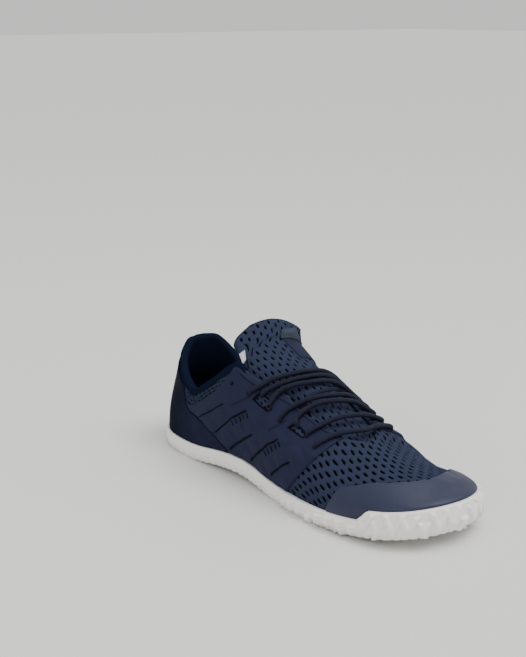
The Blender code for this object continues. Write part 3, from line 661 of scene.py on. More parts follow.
def mark(tree, name):
    """A mark that the mesh carries at its points, from 0 to 1."""
    return add_node(tree, "ShaderNodeAttribute", attribute_name=name).outputs["Fac"]


def add_holes(tree, place, holes):
    made = add_node(tree, "ShaderNodeGroup", node_tree=HOLES)
    tree.links.new(place, made.inputs["Place"])
    for name, value in zip(("Along", "Across", "Half Long", "Half Wide", "Slant"), holes):
        made.inputs[name].default_value = value
    return made.outputs["Hole"]


def knit(name, colour, light, holes):
    """Knitted mesh of fine stitches, with holes where "open" is 1 that are painted near black as
    the shade inside them, lined where "lining" is.
    """
    made, tree, shader = principled(name, colour, 0.85, 0.03)
    place = uv_place(tree, "cloth")
    waves = [add_node(tree, "ShaderNodeTexWave",
                      {"Vector": place, "Scale": scale, "Distortion": 1.5},
                      wave_type="BANDS", bands_direction=direction).outputs["Fac"]
             for direction, scale in (("X", 420.0), ("Y", 300.0))]
    stitches = math_node(tree, "MULTIPLY", *waves)
    height, tone = add_grain(tree, object_place(tree), 1500.0)
    yarn = mix_colour(tree, map_range(tree, stitches, 0.0, 0.7, 0.0, 0.75), colour, light)
    yarn = mix_colour(tree, map_range(tree, tone, 0.35, 0.65, 0.0, 0.35), yarn, colour)
    hole = math_node(tree, "MULTIPLY", add_holes(tree, place, holes), mark(tree, "open"))
    lined = mix_colour(tree, mark(tree, "lining"), yarn, LINING)
    colour_with(tree, shader, hole, lined, HOLE_SHADE)
    solid = math_node(tree, "SUBTRACT", math_node(tree, "ADD", stitches, height),
                      math_node(tree, "MULTIPLY", hole, 3.0))
    bump(tree, shader, solid, 0.00022)
    return made


def flat_grid(bm, across, along, place, marks=()):
    """A grid of faces put in place by a function that gives a point, a flat place and marks."""
    layers = [bm.verts.layers.float.get(mark_name) or bm.verts.layers.float.new(mark_name)
              for mark_name in marks]
    uv = bm.loops.layers.uv.get("cloth") or bm.loops.layers.uv.new("cloth")
    made = bmesh.ops.create_grid(bm, x_segments=across, y_segments=along, size=0.5)["verts"]
    flat = {}
    for vert in made:
        point, spot, values = place(round(vert.co.x + 0.5, 6), round(vert.co.y + 0.5, 6))
        vert.co = point
        flat[vert] = spot
        for layer, value in zip(layers, values):
            vert[layer] = value
    for face in {face for vert in made for face in vert.link_faces}:
        for loop in face.loops:
            loop[uv].uv = flat[loop.vert]
    return made


def weld(bm):
    bmesh.ops.remove_doubles(bm, verts=bm.verts, dist=0.00001)


def make_piece(name, bm, finish):
    """An object of a mesh that is done, riding on the shoe."""
    mesh = bpy.data.meshes.new(name)
    bm.to_mesh(mesh)
    bm.free()
    mesh.shade_smooth()
    mesh.materials.append(finish)
    piece = bpy.data.objects.new(name, mesh)
    bpy.context.scene.collection.objects.link(piece)
    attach(piece, "root")
    return piece


FINE_PITCH = 0.0009
WIDE_PITCH = 0.0024
FINE_FROM = 0.60
FINE_TO = 0.955
UPPER_ROWS = 84
STRIP_CLOSER = 1.7
INNER_ROWS = 20
COLLAR_END = 0.385
OUTER_FOOT = 0.02
INNER_FOOT = 0.05
HOLES_TOP = 0.985


def upper_columns():
    """Angles round the upper, close together over the toes, where the holes are."""
    cells = 4000
    angles = [0.0]
    since = 0.0
    before = outline(0.0)
    for i in range(1, cells):
        angle = pi * i / cells
        here = outline(angle)
        since += (here - before).length
        before = here
        pitch = FINE_PITCH if FINE_FROM < share(angle) < FINE_TO else WIDE_PITCH
        if since >= pitch:
            angles.append(angle)
            since = 0.0
    return angles + [pi] + [2 * pi - angle for angle in reversed(angles)]


def vamp_open(angle, up):
    """1 where the mesh has its long holes: over the toes, and in a strip below the collar."""
    at = share(angle)
    if at > 0.5:
        return 1.0
    strip = run(at, [(0.155, 0.0), (0.175, 1.0), (0.350, 1.0), (0.365, 0.0)])
    return strip * run(up, [(0.74, 0.0), (0.76, 1.0), (0.92, 1.0), (0.935, 0.0)])


def up_from(v, foot):
    """Share of the way up in a grid whose first part goes down from the rim to the footbed."""
    return (v - foot) / (1 - foot) if v > foot else (v - foot) / foot


def upper_piece():
    angles = upper_columns()
    bm = bmesh.new()

    def outer(u, v):
        angle = angles[round(u * (len(angles) - 1))]
        up = up_from(v, OUTER_FOOT)
        spot = cloth_place(angle, up)
        if share(angle) < 0.5:
            spot = (spot[0] * STRIP_CLOSER, spot[1] * STRIP_CLOSER)
        is_open = vamp_open(angle, up)
        has_holes = OUTER_FOOT < up < HOLES_TOP
        deep = DEEP * in_hole(*spot, VAMP_HOLES) * is_open if has_holes else 0.0
        lined = fade_out(share(angle), COLLAR_END, COLLAR_END + 0.01)
        return over(angle, up, -deep), spot, (is_open, lined * fade_in(up, 0.92, 0.94))

    def inner(u, v):
        angle = angles[round(u * (len(angles) - 1))]
        up = up_from(v, INNER_FOOT)
        lined = 1.0 if share(angle) < COLLAR_END or up < 0.9 else 0.0
        return over(angle, up, -UPPER_WALL), cloth_place(angle, up), (0.0, lined)

    marks = ("open", "lining")
    flat_grid(bm, len(angles) - 1, UPPER_ROWS, outer, marks)
    flat_grid(bm, len(angles) - 1, INNER_ROWS, inner, marks)
    weld(bm)
    open_edges = [e for e in bm.edges if e.is_boundary]
    low = [e for e in open_edges if max(v.co.z for v in e.verts) < SIDE_HEIGHT + TOE_SPRING]
    high = [e for e in open_edges if min(v.co.z for v in e.verts) > TOE_HEIGHT]
    bmesh.ops.bridge_loops(bm, edges=low)
    bmesh.ops.bridge_loops(bm, edges=high)
    bmesh.ops.recalc_face_normals(bm, faces=bm.faces)
    return make_piece("upper_mesh", bm, knit("navy mesh", KNIT, KNIT_LIGHT, VAMP_HOLES))


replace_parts(upper_piece(), "upper")


# Side tread: moulded with the sole in the same white rubber. Round the forefoot the tread wraps up
# the sole's side as irregular slanted ridges below a smooth lip. Behind it, low teeth go on along
# the lower edge.
BUMPER_FROM = 0.853
BUMPER_FULL = 0.883
BULGE_HEIGHT = 0.0049
BOTTOM_INSET = 0.0020
RIM_INSET = 0.0010
RIDGE_FROM = 0.560
RIDGE_FULL = 0.640
RIDGE_PITCH = 0.0092
RIDGE_FOOT = 0.0010
RIDGE_HIGH = 0.0020
TOOTH_PITCH = 0.0061
TOOTH_WANDER = 0.0011
TOOTH_WANDER_PITCH = 0.0047
NOTCH_HIGH = 0.0034
RIDGE_CELLS = 1100
RIDGE_ROWS = 40
LIP = 0.0024
RIDGE_LEANS = ((0.38, 0.0), (-0.52, 0.45))
PLAIN_PROUD = 0.0002
TOOTH_FULL = 0.0022
TOOTH_TOP = 0.0046
SIDE_SHARE = 0.985
SIDE_WALL = 0.0004


def rim(at):
    """Height of the sole's side over the floor, with the step up to the toe bumper."""
    return ground(at) + run(at, [(BUMPER_FROM, SIDE_HEIGHT), (BUMPER_FULL, BUMPER_HEIGHT)])


def ridge(s, rise, whole, lean, shift):
    """One family of slanted ridges, each of its own length."""
    place = (s + lean * rise) / RIDGE_PITCH + shift
    number = floor(place)
    crest = 1 - abs(2 * (place - number) - 1)
    start = 0.36 * ((number * 7) % 3) / 2 - 0.08
    end = start + 0.50 + 0.12 * ((number * 5) % 4)
    level = rise / whole
    shown = fade_in(level, start, start + 0.10)
    shown *= 1 - fade_in(level, end, end + 0.10)
    return fade_in(crest, 0.50, 0.80) * shown


def teeth(s):
    """1 on the teeth along the tread's lower edge, 0 in the notches between them."""
    place = (s + TOOTH_WANDER * sin(s / TOOTH_WANDER_PITCH)) / TOOTH_PITCH
    return fade_in(1 - abs(2 * (place % 1.0) - 1), 0.22, 0.48)


def side_tread_piece():
    angles = [2 * pi * i / RIDGE_CELLS for i in range(RIDGE_CELLS + 1)]
    lengths = [0.0]
    for a, b in zip(angles, angles[1:]):
        lengths.append(lengths[-1] + (outline(b) - outline(a)).length)
    bm = bmesh.new()

    def place(u, v):
        i = round(u * RIDGE_CELLS)
        angle = angles[i]
        at = share(angle)
        whole = rim(at) - ground(at)
        rise = whole * v
        inset = line(rise, [(0.0, BOTTOM_INSET), (BULGE_HEIGHT, 0.0), (whole, RIM_INSET)])
        high = max(ridge(lengths[i], rise, whole, *lean) for lean in RIDGE_LEANS)
        notch = (1 - teeth(lengths[i])) * fade_out(rise, 0.55 * NOTCH_HIGH, NOTCH_HIGH)
        fore = fade_in(at, RIDGE_FROM, RIDGE_FULL)
        lip = fade_in(whole - rise, 0.0, LIP)
        low = fade_out(rise, TOOTH_FULL, TOOTH_TOP)
        ribbed = (RIDGE_FOOT + RIDGE_HIGH * high * lip) * (1 - 0.9 * notch)
        plain = PLAIN_PROUD + RIDGE_FOOT * teeth(lengths[i]) * low
        proud = ribbed * fore + plain * (1 - fore)
        proud *= run(whole - rise, [(0.0, 0.15), (0.0008, 1.0)])
        point = outline(angle, inset - proud) + SHIFT
        point.z = ground(at) + rise * SIDE_SHARE + 0.0001
        return point, (lengths[i], rise), ()

    flat_grid(bm, RIDGE_CELLS, RIDGE_ROWS, place)
    weld(bm)
    face_out(bm)
    return make_piece("side_tread", bm, rubber("side rubber", WHITE_RUBBER, 0.006))


def face_out(bm):
    """Turn an open sheet's faces away from the middle of the shoe."""
    bm.normal_update()
    middle = Vector((0, 0, 0.02))
    if sum(face.normal.dot(face.calc_center_median() - middle) for face in bm.faces) < 0:
        bmesh.ops.reverse_faces(bm, faces=bm.faces)


def give_wall(piece, wall):
    thick = piece.modifiers.new("wall", "SOLIDIFY")
    thick.thickness = wall
    thick.offset = -1
    return piece


give_wall(side_tread_piece(), SIDE_WALL)


# Toe cap: a smooth film fused over the toes, from the sole up to the ridge. It is one piece round
# both sides, about a millimetre thick, with a soft rounded edge.
CAP_EDGE_INNER = [(0.762, 0.03), (0.772, 0.15), (0.778, 0.27), (0.786, 0.37), (0.828, 0.48),
                  (0.882, 0.64), (0.916, 0.82), (0.941, 1.0)]
CAP_EDGE_OUTER = [(0.762, 0.03), (0.775, 0.13), (0.800, 0.22), (0.873, 0.40), (0.924, 0.74),
                  (0.948, 1.0)]
FILM = (0.0170, 0.0230, 0.0550)
FILM_DARK = (0.013, 0.017, 0.038)
FILM_FOOT = 0.01
FILM_LIFT = 0.0001
FILM_PROUD = 0.0012
FILM_WALL = 0.00035
FILM_EDGE = 0.0014
CAP_CELLS = 150
CAP_ROWS = 56


def film(name, colour, dark, roughness, shine=0.45):
    """Smooth fused film with a faint pebble and a soft sheen, darker where "shade" is 1."""
    made, tree, shader = principled(name, colour, roughness, shine)
    height, tone = add_grain(tree, object_place(tree), 2200.0)
    soft = mix_colour(tree, map_range(tree, tone, 0.35, 0.65, 0.0, 0.18), colour, dark)
    colour_with(tree, shader, mark(tree, "shade"), soft, dark)
    roughen(tree, shader, tone, roughness - 0.05, roughness + 0.07)
    bump(tree, shader, height, 0.00005)
    shader.inputs["Coat Weight"].default_value = 0.10 * shine
    shader.inputs["Coat Roughness"].default_value = 0.45
    return made


def rounded(distance, proud, wall=FILM_WALL):
    """How proud a fused piece stands at a distance from its edge."""
    full = fade_in(distance, 0.0, FILM_EDGE)
    return wall + FILM_LIFT + (proud - wall - FILM_LIFT) * full


def skirt_up(at):
    """The share of the way up at which a panel's foot meets the sole's rim, 0 or less."""
    return -(rib_foot(at) - rim(at)) / (rib_foot(at) - ground(at) - FOOTBED_HEIGHT)


def toe_cap_piece():
    bm = bmesh.new()

    def place(u, v):
        start = angle_at(CAP_EDGE_INNER[0][0], -1)
        end = angle_at(CAP_EDGE_OUTER[0][0], 1)
        angle = start + (end - start) * u
        knots = CAP_EDGE_INNER if side_of(angle) < 0 else CAP_EDGE_OUTER
        top = line(share(angle), knots)
        foot = skirt_up(share(angle)) + FILM_FOOT
        up = foot + (top - foot) * v
        length = rib_length(angle)
        back = (share(angle) - knots[0][0]) * SHOE_LENGTH
        near = min(back, (top - up) * length if top < 1 else back)
        return over(angle, up, rounded(near, FILM_PROUD)), cloth_place(angle, up), (0.0,)

    flat_grid(bm, CAP_CELLS, CAP_ROWS, place, ("shade",))
    weld(bm)
    face_out(bm)
    finish = film("toe film", FILM, FILM_DARK, 0.50, 0.32)
    return make_piece("toe_cap_film", bm, finish)


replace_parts(give_wall(toe_cap_piece(), FILM_WALL), "toe_cap")


# Heel counter: a smooth panel round the heel, fused on the mesh. Its front edge slants from the
# waist up to the collar, and it goes nearly black towards the back: partly its darker cloth and
# partly painted shade.
COUNTER_SEAM = [(0.0, 0.370), (0.11, 0.331), (0.26, 0.293), (0.54, 0.228), (0.71, 0.176),
                (0.85, 0.158), (0.93, 0.154)]
COUNTER_TOP = 0.93
COUNTER_CELLS = 150
COUNTER_ROWS = 60
COUNTER_FILM = (0.0150, 0.0180, 0.0400)
COUNTER_BLACK_AND_SHADE = (0.0030, 0.0042, 0.0100)


def counter_piece():
    bm = bmesh.new()

    def place(u, v):
        up = FILM_FOOT + (COUNTER_TOP - FILM_FOOT) * v
        seam = line(up, COUNTER_SEAM)
        half = angle_at(seam, -1)
        angle = half * (2 * u - 1)
        near = min((seam - share(angle)) * SHOE_LENGTH, (COUNTER_TOP - up) * HEEL_HEIGHT)
        # Darker towards the back: partly the counter's darker cloth and partly painted shade.
        shade = fade_out(share(angle), 0.04, 0.25)
        return over(angle, up, rounded(near, FILM_PROUD)), cloth_place(angle, up), (shade,)

    flat_grid(bm, COUNTER_CELLS, COUNTER_ROWS, place, ("shade",))
    face_out(bm)
    finish = film("heel film", COUNTER_FILM, COUNTER_BLACK_AND_SHADE, 0.66, 0.015)
    return make_piece("heel_counter_film", bm, finish)


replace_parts(give_wall(counter_piece(), FILM_WALL), "heel_counter")


# Side panels: soft fused panels from the counter to the ball, with the eyestay along the throat.
# Low puffed blocks lie between slanting slits, and two windows show the mesh between the eyelets.
PANEL_FRONT = [(0.0, 0.622), (0.25, 0.660), (0.40, 0.676), (0.56, 0.691), (0.74, 0.703),
               (0.97, 0.712)]
PANEL_TOP = [(0.160, 0.75), (0.200, 0.765), (0.300, 0.81), (0.345, 0.87), (0.372, 0.965),
             (0.700, 0.965)]
PANEL_CELLS = 230
PANEL_ROWS = 110
PANEL_PROUD = 0.0012
PANEL_LENGTH = 0.078
PANEL_LEAST = 0.00045
PANEL_GAP = 0.004
PANEL_COLOUR = (0.0172, 0.0198, 0.0455)
PANEL_LIGHT = (0.024, 0.027, 0.058)
GROOVE_SHADE = (0.0012, 0.0015, 0.0035)
SLITS = [
    [(0.256, 0.49), (0.302, 0.54), (0.350, 0.59)],
    [(0.324, 0.22), (0.372, 0.35), (0.403, 0.46), (0.438, 0.61)],
    [(0.377, 0.05), (0.422, 0.19), (0.468, 0.37)],
    [(0.462, 0.06), (0.508, 0.26), (0.539, 0.41), (0.565, 0.53)],
    [(0.555, 0.08), (0.596, 0.25), (0.623, 0.37)],
]
FINGERS = [
    [(0.388, 0.56), (0.415, 0.67), (0.439, 0.78)],
    [(0.526, 0.56), (0.547, 0.66), (0.561, 0.77)],
]
SLIT_HALF = 0.0006
SLIT_DEEP = 0.0009
WINDOWS = [
    [(0.452, 0.79), (0.466, 0.91), (0.497, 0.88), (0.511, 0.79), (0.501, 0.75)],
    [(0.578, 0.72), (0.590, 0.82), (0.622, 0.80), (0.634, 0.76), (0.628, 0.72)],
]
BLOCK_TURN = radians(46)
BLOCK_ACROSS = 0.0198
BLOCK_ALONG = 0.0170
BLOCK_SHIFT = 0.0352
BLOCK_HIGH = 0.0009
EYELETS = [(0.376, 0.81), (0.436, 0.808), (0.506, 0.784), (0.547, 0.730), (0.599, 0.796),
           (0.634, 0.766), (0.673, 0.700)]
DASHED = (1, 3)
DASHES = 5
DASH_OFF = Vector((0.0026, -0.0030))
DASH = Vector((0.0008, -0.0012))
EYELET_HALF = 0.0017
EDGE_LINE = 0.0032
EDGE_LINE_DEEP = 0.0004
EDGE_LINE_FROM = 0.40
WINDOW_FLOOR = 0.0005
WINDOW_HOLES = Holes(0.0040, 0.0030, 0.0012, 0.0007, 0.2)


def panel_spot(at, up):
    """A place of the panel laid flat, in metres."""
    return Vector((at * SHOE_LENGTH, up * PANEL_LENGTH))


def to_line(point, corners):
    """Distance from a point of the flat panel to a line through places of it."""
    spots = [panel_spot(*corner) for corner in corners]
    return min(to_segment(point, start, end) for start, end in zip(spots, spots[1:]))


def to_segment(point, start, end):
    """Distance from a point to a straight stretch."""
    along = end - start
    s = min(max((point - start).dot(along) / along.dot(along), 0.0), 1.0)
    return (point - start - along * s).length


def to_dashes(point, slit):
    """Distance to the short dashes of open mesh below the upper half of a slit."""
    start, end = panel_spot(*slit[1]), panel_spot(*slit[-1])
    far = 1.0
    for k in range(DASHES):
        middle = start.lerp(end, (k + 1) / DASHES) + DASH_OFF
        far = min(far, to_segment(point, middle - DASH, middle + DASH))
    return far


def in_window(point, corners):
    """Distance into a window from its nearest side, negative outside."""
    spots = [panel_spot(*corner) for corner in corners]
    deep = 1.0
    for start, end in zip(spots, spots[1:] + spots[:1]):
        along = (end - start).normalized()
        deep = min(deep, along.x * (start.y - point.y) + along.y * (point.x - start.x))
    return deep


def plateau(s):
    """Soft block over one period: 1 in the middle and 0 at its borders."""
    s = abs(s % 1.0 - 0.5) * 2
    return 1 - fade_in(s, 0.30, 1.0)


def panel_relief(at, up):
    """How proud the panel stands at a place, and its marks: seam, which paints shade near black
    into the slits, grooves, window borders and eyelet holes, and mesh showing.
    """
    point = panel_spot(at, up)
    along = point.x * cos(BLOCK_TURN) + point.y * sin(BLOCK_TURN)
    across = point.x * sin(BLOCK_TURN) - point.y * cos(BLOCK_TURN)
    band = (across - BLOCK_SHIFT) / BLOCK_ACROSS
    block = plateau(band) * plateau(along / BLOCK_ALONG + 0.5 * (floor(band) % 2))
    block *= run(up, [(0.0, 0.4), (0.10, 1.0), (0.56, 1.0), (0.70, 0.0)])
    proud = PANEL_PROUD + BLOCK_HIGH * block
    seam = 0.0
    for number, slit in enumerate(SLITS):
        far = to_line(point, slit)
        if number in DASHED:
            far = min(far, to_dashes(point, slit))
        cut = 1 - fade_in(far, SLIT_HALF * 0.5, SLIT_HALF * 2)
        proud -= SLIT_DEEP * cut
        seam = max(seam, cut)
    for finger in FINGERS:
        cut = 1 - fade_in(to_line(point, finger), 0.0002, 0.0014)
        proud -= 0.4 * SLIT_DEEP * cut
        seam = max(seam, 0.35 * cut)
    cloth = 0.0
    for corners in WINDOWS:
        deep = in_window(point, corners)
        inside = fade_in(deep, -0.0004, 0.0010)
        border = 1 - fade_in(abs(deep - 0.0004), 0.0004, 0.0014)
        proud -= (PANEL_PROUD - WINDOW_FLOOR) * inside
        cloth = max(cloth, inside)
        seam = max(seam, border)
    for eyelet in EYELETS:
        far = (point - panel_spot(*eyelet)).length
        hole = 1 - fade_in(far, EYELET_HALF * 0.7, EYELET_HALF * 1.2)
        proud -= SLIT_DEEP * hole
        seam = max(seam, hole)
    return proud, seam, cloth


def panel_cloth():
    made, tree, shader = principled("navy panel", PANEL_COLOUR, 0.68, 0.05)
    place = uv_place(tree, "cloth")
    height, tone = add_grain(tree, object_place(tree), 2400.0)
    colour = mix_colour(tree, map_range(tree, tone, 0.35, 0.65, 0.0, 0.30), PANEL_COLOUR,
                        PANEL_LIGHT)
    hole = add_holes(tree, place, WINDOW_HOLES)
    # The holes in the windows are painted near black: painted shade.
    cloth = mix_colour(tree, hole, KNIT, HOLE_SHADE)
    shown = mix_colour(tree, mark(tree, "window"), colour, cloth)
    # Near black where "seam" is 1: painted shade in the slits, grooves, window borders and eyelet
    # holes.
    colour_with(tree, shader, mark(tree, "seam"), shown, GROOVE_SHADE)
    roughen(tree, shader, tone, 0.60, 0.74)
    bump(tree, shader, height, 0.00010)
    return made


PANEL_FINISH = panel_cloth()


def panel_piece(name, side):
    bm = bmesh.new()

    def place(u, v):
        up = 0.97 * v
        for settle in range(3):
            back = line(up, COUNTER_SEAM) + PANEL_GAP
            front = line(up, PANEL_FRONT)
            at = back + (front - back) * u
            top = line(at, PANEL_TOP)
            up = FILM_FOOT + (top - FILM_FOOT) * v
        proud, seam, cloth = panel_relief(at, up)
        down = (top - up) * PANEL_LENGTH
        near = min((at - back) * SHOE_LENGTH, (front - at) * SHOE_LENGTH, down)
        proud = min(proud, rounded(near, proud))
        angle = angle_at(at, side)
        lip = 1 - fade_in(abs(down - EDGE_LINE), 0.0002, 0.0009)
        # The groove along the edge is darkened through "seam": painted shade.
        if at > EDGE_LINE_FROM:
            proud -= EDGE_LINE_DEEP * lip
            seam = max(seam, 0.5 * lip)
        return over(angle, up, max(proud, PANEL_LEAST)), cloth_place(angle, up), (seam, cloth)

    flat_grid(bm, PANEL_CELLS, PANEL_ROWS, place, ("seam", "window"))
    face_out(bm)
    return give_wall(make_piece(name, bm, PANEL_FINISH), FILM_WALL)


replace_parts(panel_piece("side_panel_inner", -1), "side_panel_medial")
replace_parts(panel_piece("side_panel_outer", 1), "side_panel_lateral")


# Collar: a soft padded lining that rolls over the edge of the shell and down inside it. It is
# dark brushed cloth over foam, thick at the heel, and thins out where the throat begins.
COLLAR_CELLS = 220
COLLAR_ROWS = 30
COLLAR_FOOT = 0.30
COLLAR_OUTSIDE = 0.935
COLLAR_WALL = 0.0004
LINING_LIGHT = (0.0085, 0.0130, 0.0300)
PADDING = 0.0030
PADDING_FULL = 0.28
OUTSIDE_PART = 0.2
ROLL_PART = 0.5


def lining_cloth():
    made, tree, shader = principled("lining cloth", LINING, 0.9, 0.0)
    height, tone = add_grain(tree, object_place(tree), 3000.0)
    colour_with(tree, shader, map_range(tree, height, 0.4, 0.7, 0.0, 1.0), LINING, LINING_LIGHT)
    roughen(tree, shader, tone, 0.84, 0.95)
    bump(tree, shader, height, 0.00008)
    return made


def collar_piece():
    bm = bmesh.new()
    reach = angle_at(COLLAR_END + 0.03, -1)

    def place(u, v):
        angle = reach * (2 * u - 1)
        pad = PADDING * fade_out(share(angle), PADDING_FULL, COLLAR_END)
        outside, inside = 0.0005, -(UPPER_WALL + 0.0006 + pad)
        if v < OUTSIDE_PART:
            up = COLLAR_OUTSIDE + (1 - COLLAR_OUTSIDE) * v / OUTSIDE_PART
            point = over(angle, up, outside - 0.0003 * (1 - v / OUTSIDE_PART))
        elif v < ROLL_PART:
            turn = pi * (v - OUTSIDE_PART) / (ROLL_PART - OUTSIDE_PART)
            middle = (outside + inside) / 2
            half = (outside - inside) / 2
            rise = (rib_point(angle, 1.0) - rib_point(angle, 0.97)).normalized() * half
            point = over(angle, 1.0, middle + half * cos(turn)) + rise * sin(turn)
        else:
            down = (v - ROLL_PART) / (1 - ROLL_PART)
            up = 1 - (1 - COLLAR_FOOT) * down
            point = over(angle, up, inside + (pad + 0.0003) * fade_in(down, 0.35, 1.0))
        return point, cloth_place(angle, 1.0), ()

    flat_grid(bm, COLLAR_CELLS, COLLAR_ROWS, place)
    bm.normal_update()
    top = [face for face in bm.faces if face.calc_center_median().z > 0.05]
    highest = max(top, key=lambda face: face.calc_center_median().z)
    if highest.normal.z < 0:
        bmesh.ops.reverse_faces(bm, faces=bm.faces)
    piece = make_piece("collar_lining", bm, lining_cloth())
    return give_wall(piece, COLLAR_WALL)


collar_piece()


# Tongue: a padded sheet of the same knit under the laces, which stands up over the collar and
# leans to the outer side. Its slots run up it in staggered rows, and its edge is bound.
TONGUE_FRONT = 0.752
TONGUE_FLAT_FROM = 0.734
TONGUE_PUFF = 0.0032
TONGUE_OUTER_PUFF = 0.0036
TONGUE_EVEN = 14
TONGUE_REACH = 0.02
TONGUE_DIP = 0.0030
TONGUE_LEAN = radians(62)
TONGUE_SPLAY = 0.35
TONGUE_RUN_IN = 0.042
TONGUE_UNDERLAP = 0.30
TONGUE_ROWS = 7
TONGUE_THICKNESS = 0.0036
TONGUE_EASE = 0.0009
TONGUE_CELLS = 80
TONGUE_STEPS = 150
TongueRow = namedtuple("TongueRow", "rise back aside half edge_back edge_down outer")
TONGUE_TOP = [
    TongueRow(0.0040, 0.003, 0.0040, 0.0285, 0.004, 0.0085, 0.40),
    TongueRow(0.0072, 0.005, 0.0060, 0.0295, 0.006, 0.0095, 0.50),
    TongueRow(0.0105, 0.007, 0.0070, 0.0290, 0.007, 0.0105, 0.66),
    TongueRow(0.0132, 0.010, 0.0074, 0.0248, 0.006, 0.0090, 0.80),
    TongueRow(0.0140, 0.0125, 0.0070, 0.0140, 0.003, 0.003, 1.00),
]
TONGUE_HOLES = Holes(0.0074, 0.0046, 0.0018, 0.00072, 0.15)


def throat_line(at, across):
    """Surface over the throat: across runs from -1 to 1, and beyond a half it is the upper's."""
    if abs(across) >= 0.5:
        side = -1 if across < 0 else 1
        under = (abs(across) - 0.5) / 0.5 * TONGUE_UNDERLAP
        return rib_point(angle_at(at, side), 1 - under)
    left = controls_at(angle_at(at, -1))
    right = controls_at(angle_at(at, 1))
    reach = (right[3] - left[3]).length * THROAT_ARCH
    return bezier(left[3], left[3] + (left[3] - left[2]).normalized() * reach,
                  right[3] + (right[3] - right[2]).normalized() * reach, right[3], across + 0.5)


def throat_point(at, across, proud):
    step = 0.01
    along = throat_line(at + step, across) - throat_line(at - step, across)
    sideways = throat_line(at, across + step) - throat_line(at, across - step)
    return throat_line(at, across) + along.cross(sideways).normalized() * proud


def spline(points, s):
    """Smooth curve through points, with s counted in points from the second one."""
    k = min(int(s), len(points) - 4)
    s -= k
    a, b, c, d = points[k:k + 4]
    return (b * 2 + (c - a) * s + (a * 2 - b * 5 + c * 4 - d) * s * s
            + (b * 3 - a - c * 3 + d) * s ** 3) / 2


def tongue_face(u, v, depth):
    """Face of the tongue at a depth: u across it, v from its front end to its top."""
    across = 2 * u - 1
    covered = TONGUE_ROWS / (TONGUE_ROWS + len(TONGUE_TOP))
    reach = run(v, [(0.0, 0.9), (0.25, 0.9), (covered, 0.60)])
    puff = TONGUE_PUFF * max(1 - (2 * across * reach) ** 2, 0.0)
    puff *= fade_in(v, 0.20, 0.35)
    puff += (TONGUE_OUTER_PUFF * run(across * reach, [(0.05, 0.0), (0.33, 1.0), (0.52, 0.1)])
             * fade_in(v, 0.36, 0.54))
    depth -= puff * (1 - fade_in(v, covered, 0.92))
    if v <= covered:
        at = TONGUE_FRONT + (THROAT_BACK - TONGUE_FRONT) * v / covered
        held = min(at, TONGUE_FLAT_FROM)
        ahead = throat_line(held, 0.0) - throat_line(held - TONGUE_REACH, 0.0)
        ahead.z -= TONGUE_DIP
        return (throat_point(held, across * reach, -depth)
                + ahead * ((at - held) / TONGUE_REACH))
    base = throat_point(THROAT_BACK, 0.0, 0.0)
    chain = [throat_line(THROAT_BACK + TONGUE_RUN_IN, across * reach),
             throat_line(THROAT_BACK, across * reach)]
    for row in TONGUE_TOP:
        droop = across ** 2 * (row.outer if across > 0 else 1.0)
        chain.append(base + Vector((-row.back - row.edge_back * droop,
                                    row.aside + row.half * across,
                                    row.rise - row.edge_down * droop)))
    chain.append(chain[-1] * 2 - chain[-2])
    point = spline(chain, (v - covered) / (1 - covered) * len(TONGUE_TOP))
    back = Vector((-sin(TONGUE_LEAN), -TONGUE_SPLAY * across, -cos(TONGUE_LEAN))).normalized()
    start = throat_line(THROAT_BACK, across * reach)
    normal = throat_point(THROAT_BACK, across * reach, -1.0) - start
    back = normal.lerp(back, fade_in(v, covered, covered + 0.1)).normalized()
    return point + back * depth


def tongue_measures():
    """Length up the middle of the tongue, and its half width, at each step from front to top."""
    lengths = [0.0]
    halves = []
    before = None
    for j in range(TONGUE_STEPS + 1):
        row = [tongue_face(0.5 + 0.0625 * i, j / TONGUE_STEPS, 0.0) for i in range(9)]
        halves.append(sum((b - a).length for a, b in zip(row, row[1:])))
        if before:
            lengths.append(lengths[-1] + (row[0] - before).length)
        before = row[0]
    evened = []
    for j in range(len(halves)):
        near = halves[max(j - TONGUE_EVEN, 0):j + TONGUE_EVEN + 1]
        evened.append(sum(near) / len(near))
    return lengths, evened


TONGUE_LENGTHS, TONGUE_HALVES = tongue_measures()


def tongue_spot(u, v):
    """A place of the tongue on its flat cloth, in metres."""
    j = round(v * TONGUE_STEPS)
    return TONGUE_LENGTHS[j], (2 * u - 1) * TONGUE_HALVES[j]


def tongue_piece():
    outer = UPPER_WALL + TONGUE_EASE
    bm = bmesh.new()

    def skin(inner):
        def place(u, v):
            rim = max(abs(2 * u - 1), abs(2 * v - 1) if v > 0.5 else 0.0)
            full = sqrt(max(1 - rim ** 12, 0.0))
            spot = tongue_spot(u, v)
            binding = fade_in(rim, 0.93, 0.955)
            half = TONGUE_THICKNESS / 2 * (full if inner or rim > 0.9 else 1.0)
            depth = outer + TONGUE_THICKNESS / 2 + (half if inner else -half)
            if not inner:
                depth += DEEP * in_hole(*spot, TONGUE_HOLES) * (1 - binding)
            return tongue_face(u, v, depth), spot, (0.0 if inner else 1 - binding,
                                                    1.0 if inner else 0.35 * binding)
        return place

    flat_grid(bm, TONGUE_CELLS, TONGUE_STEPS, skin(False), ("open", "lining"))
    flat_grid(bm, TONGUE_CELLS, TONGUE_STEPS, skin(True), ("open", "lining"))
    weld(bm)
    bmesh.ops.bridge_loops(bm, edges=[e for e in bm.edges if e.is_boundary])
    bmesh.ops.recalc_face_normals(bm, faces=bm.faces)
    return make_piece("tongue_padded", bm, knit("tongue mesh", KNIT, KNIT_LIGHT, TONGUE_HOLES))


tongue_made = tongue_piece()
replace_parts(tongue_made, "tongue")


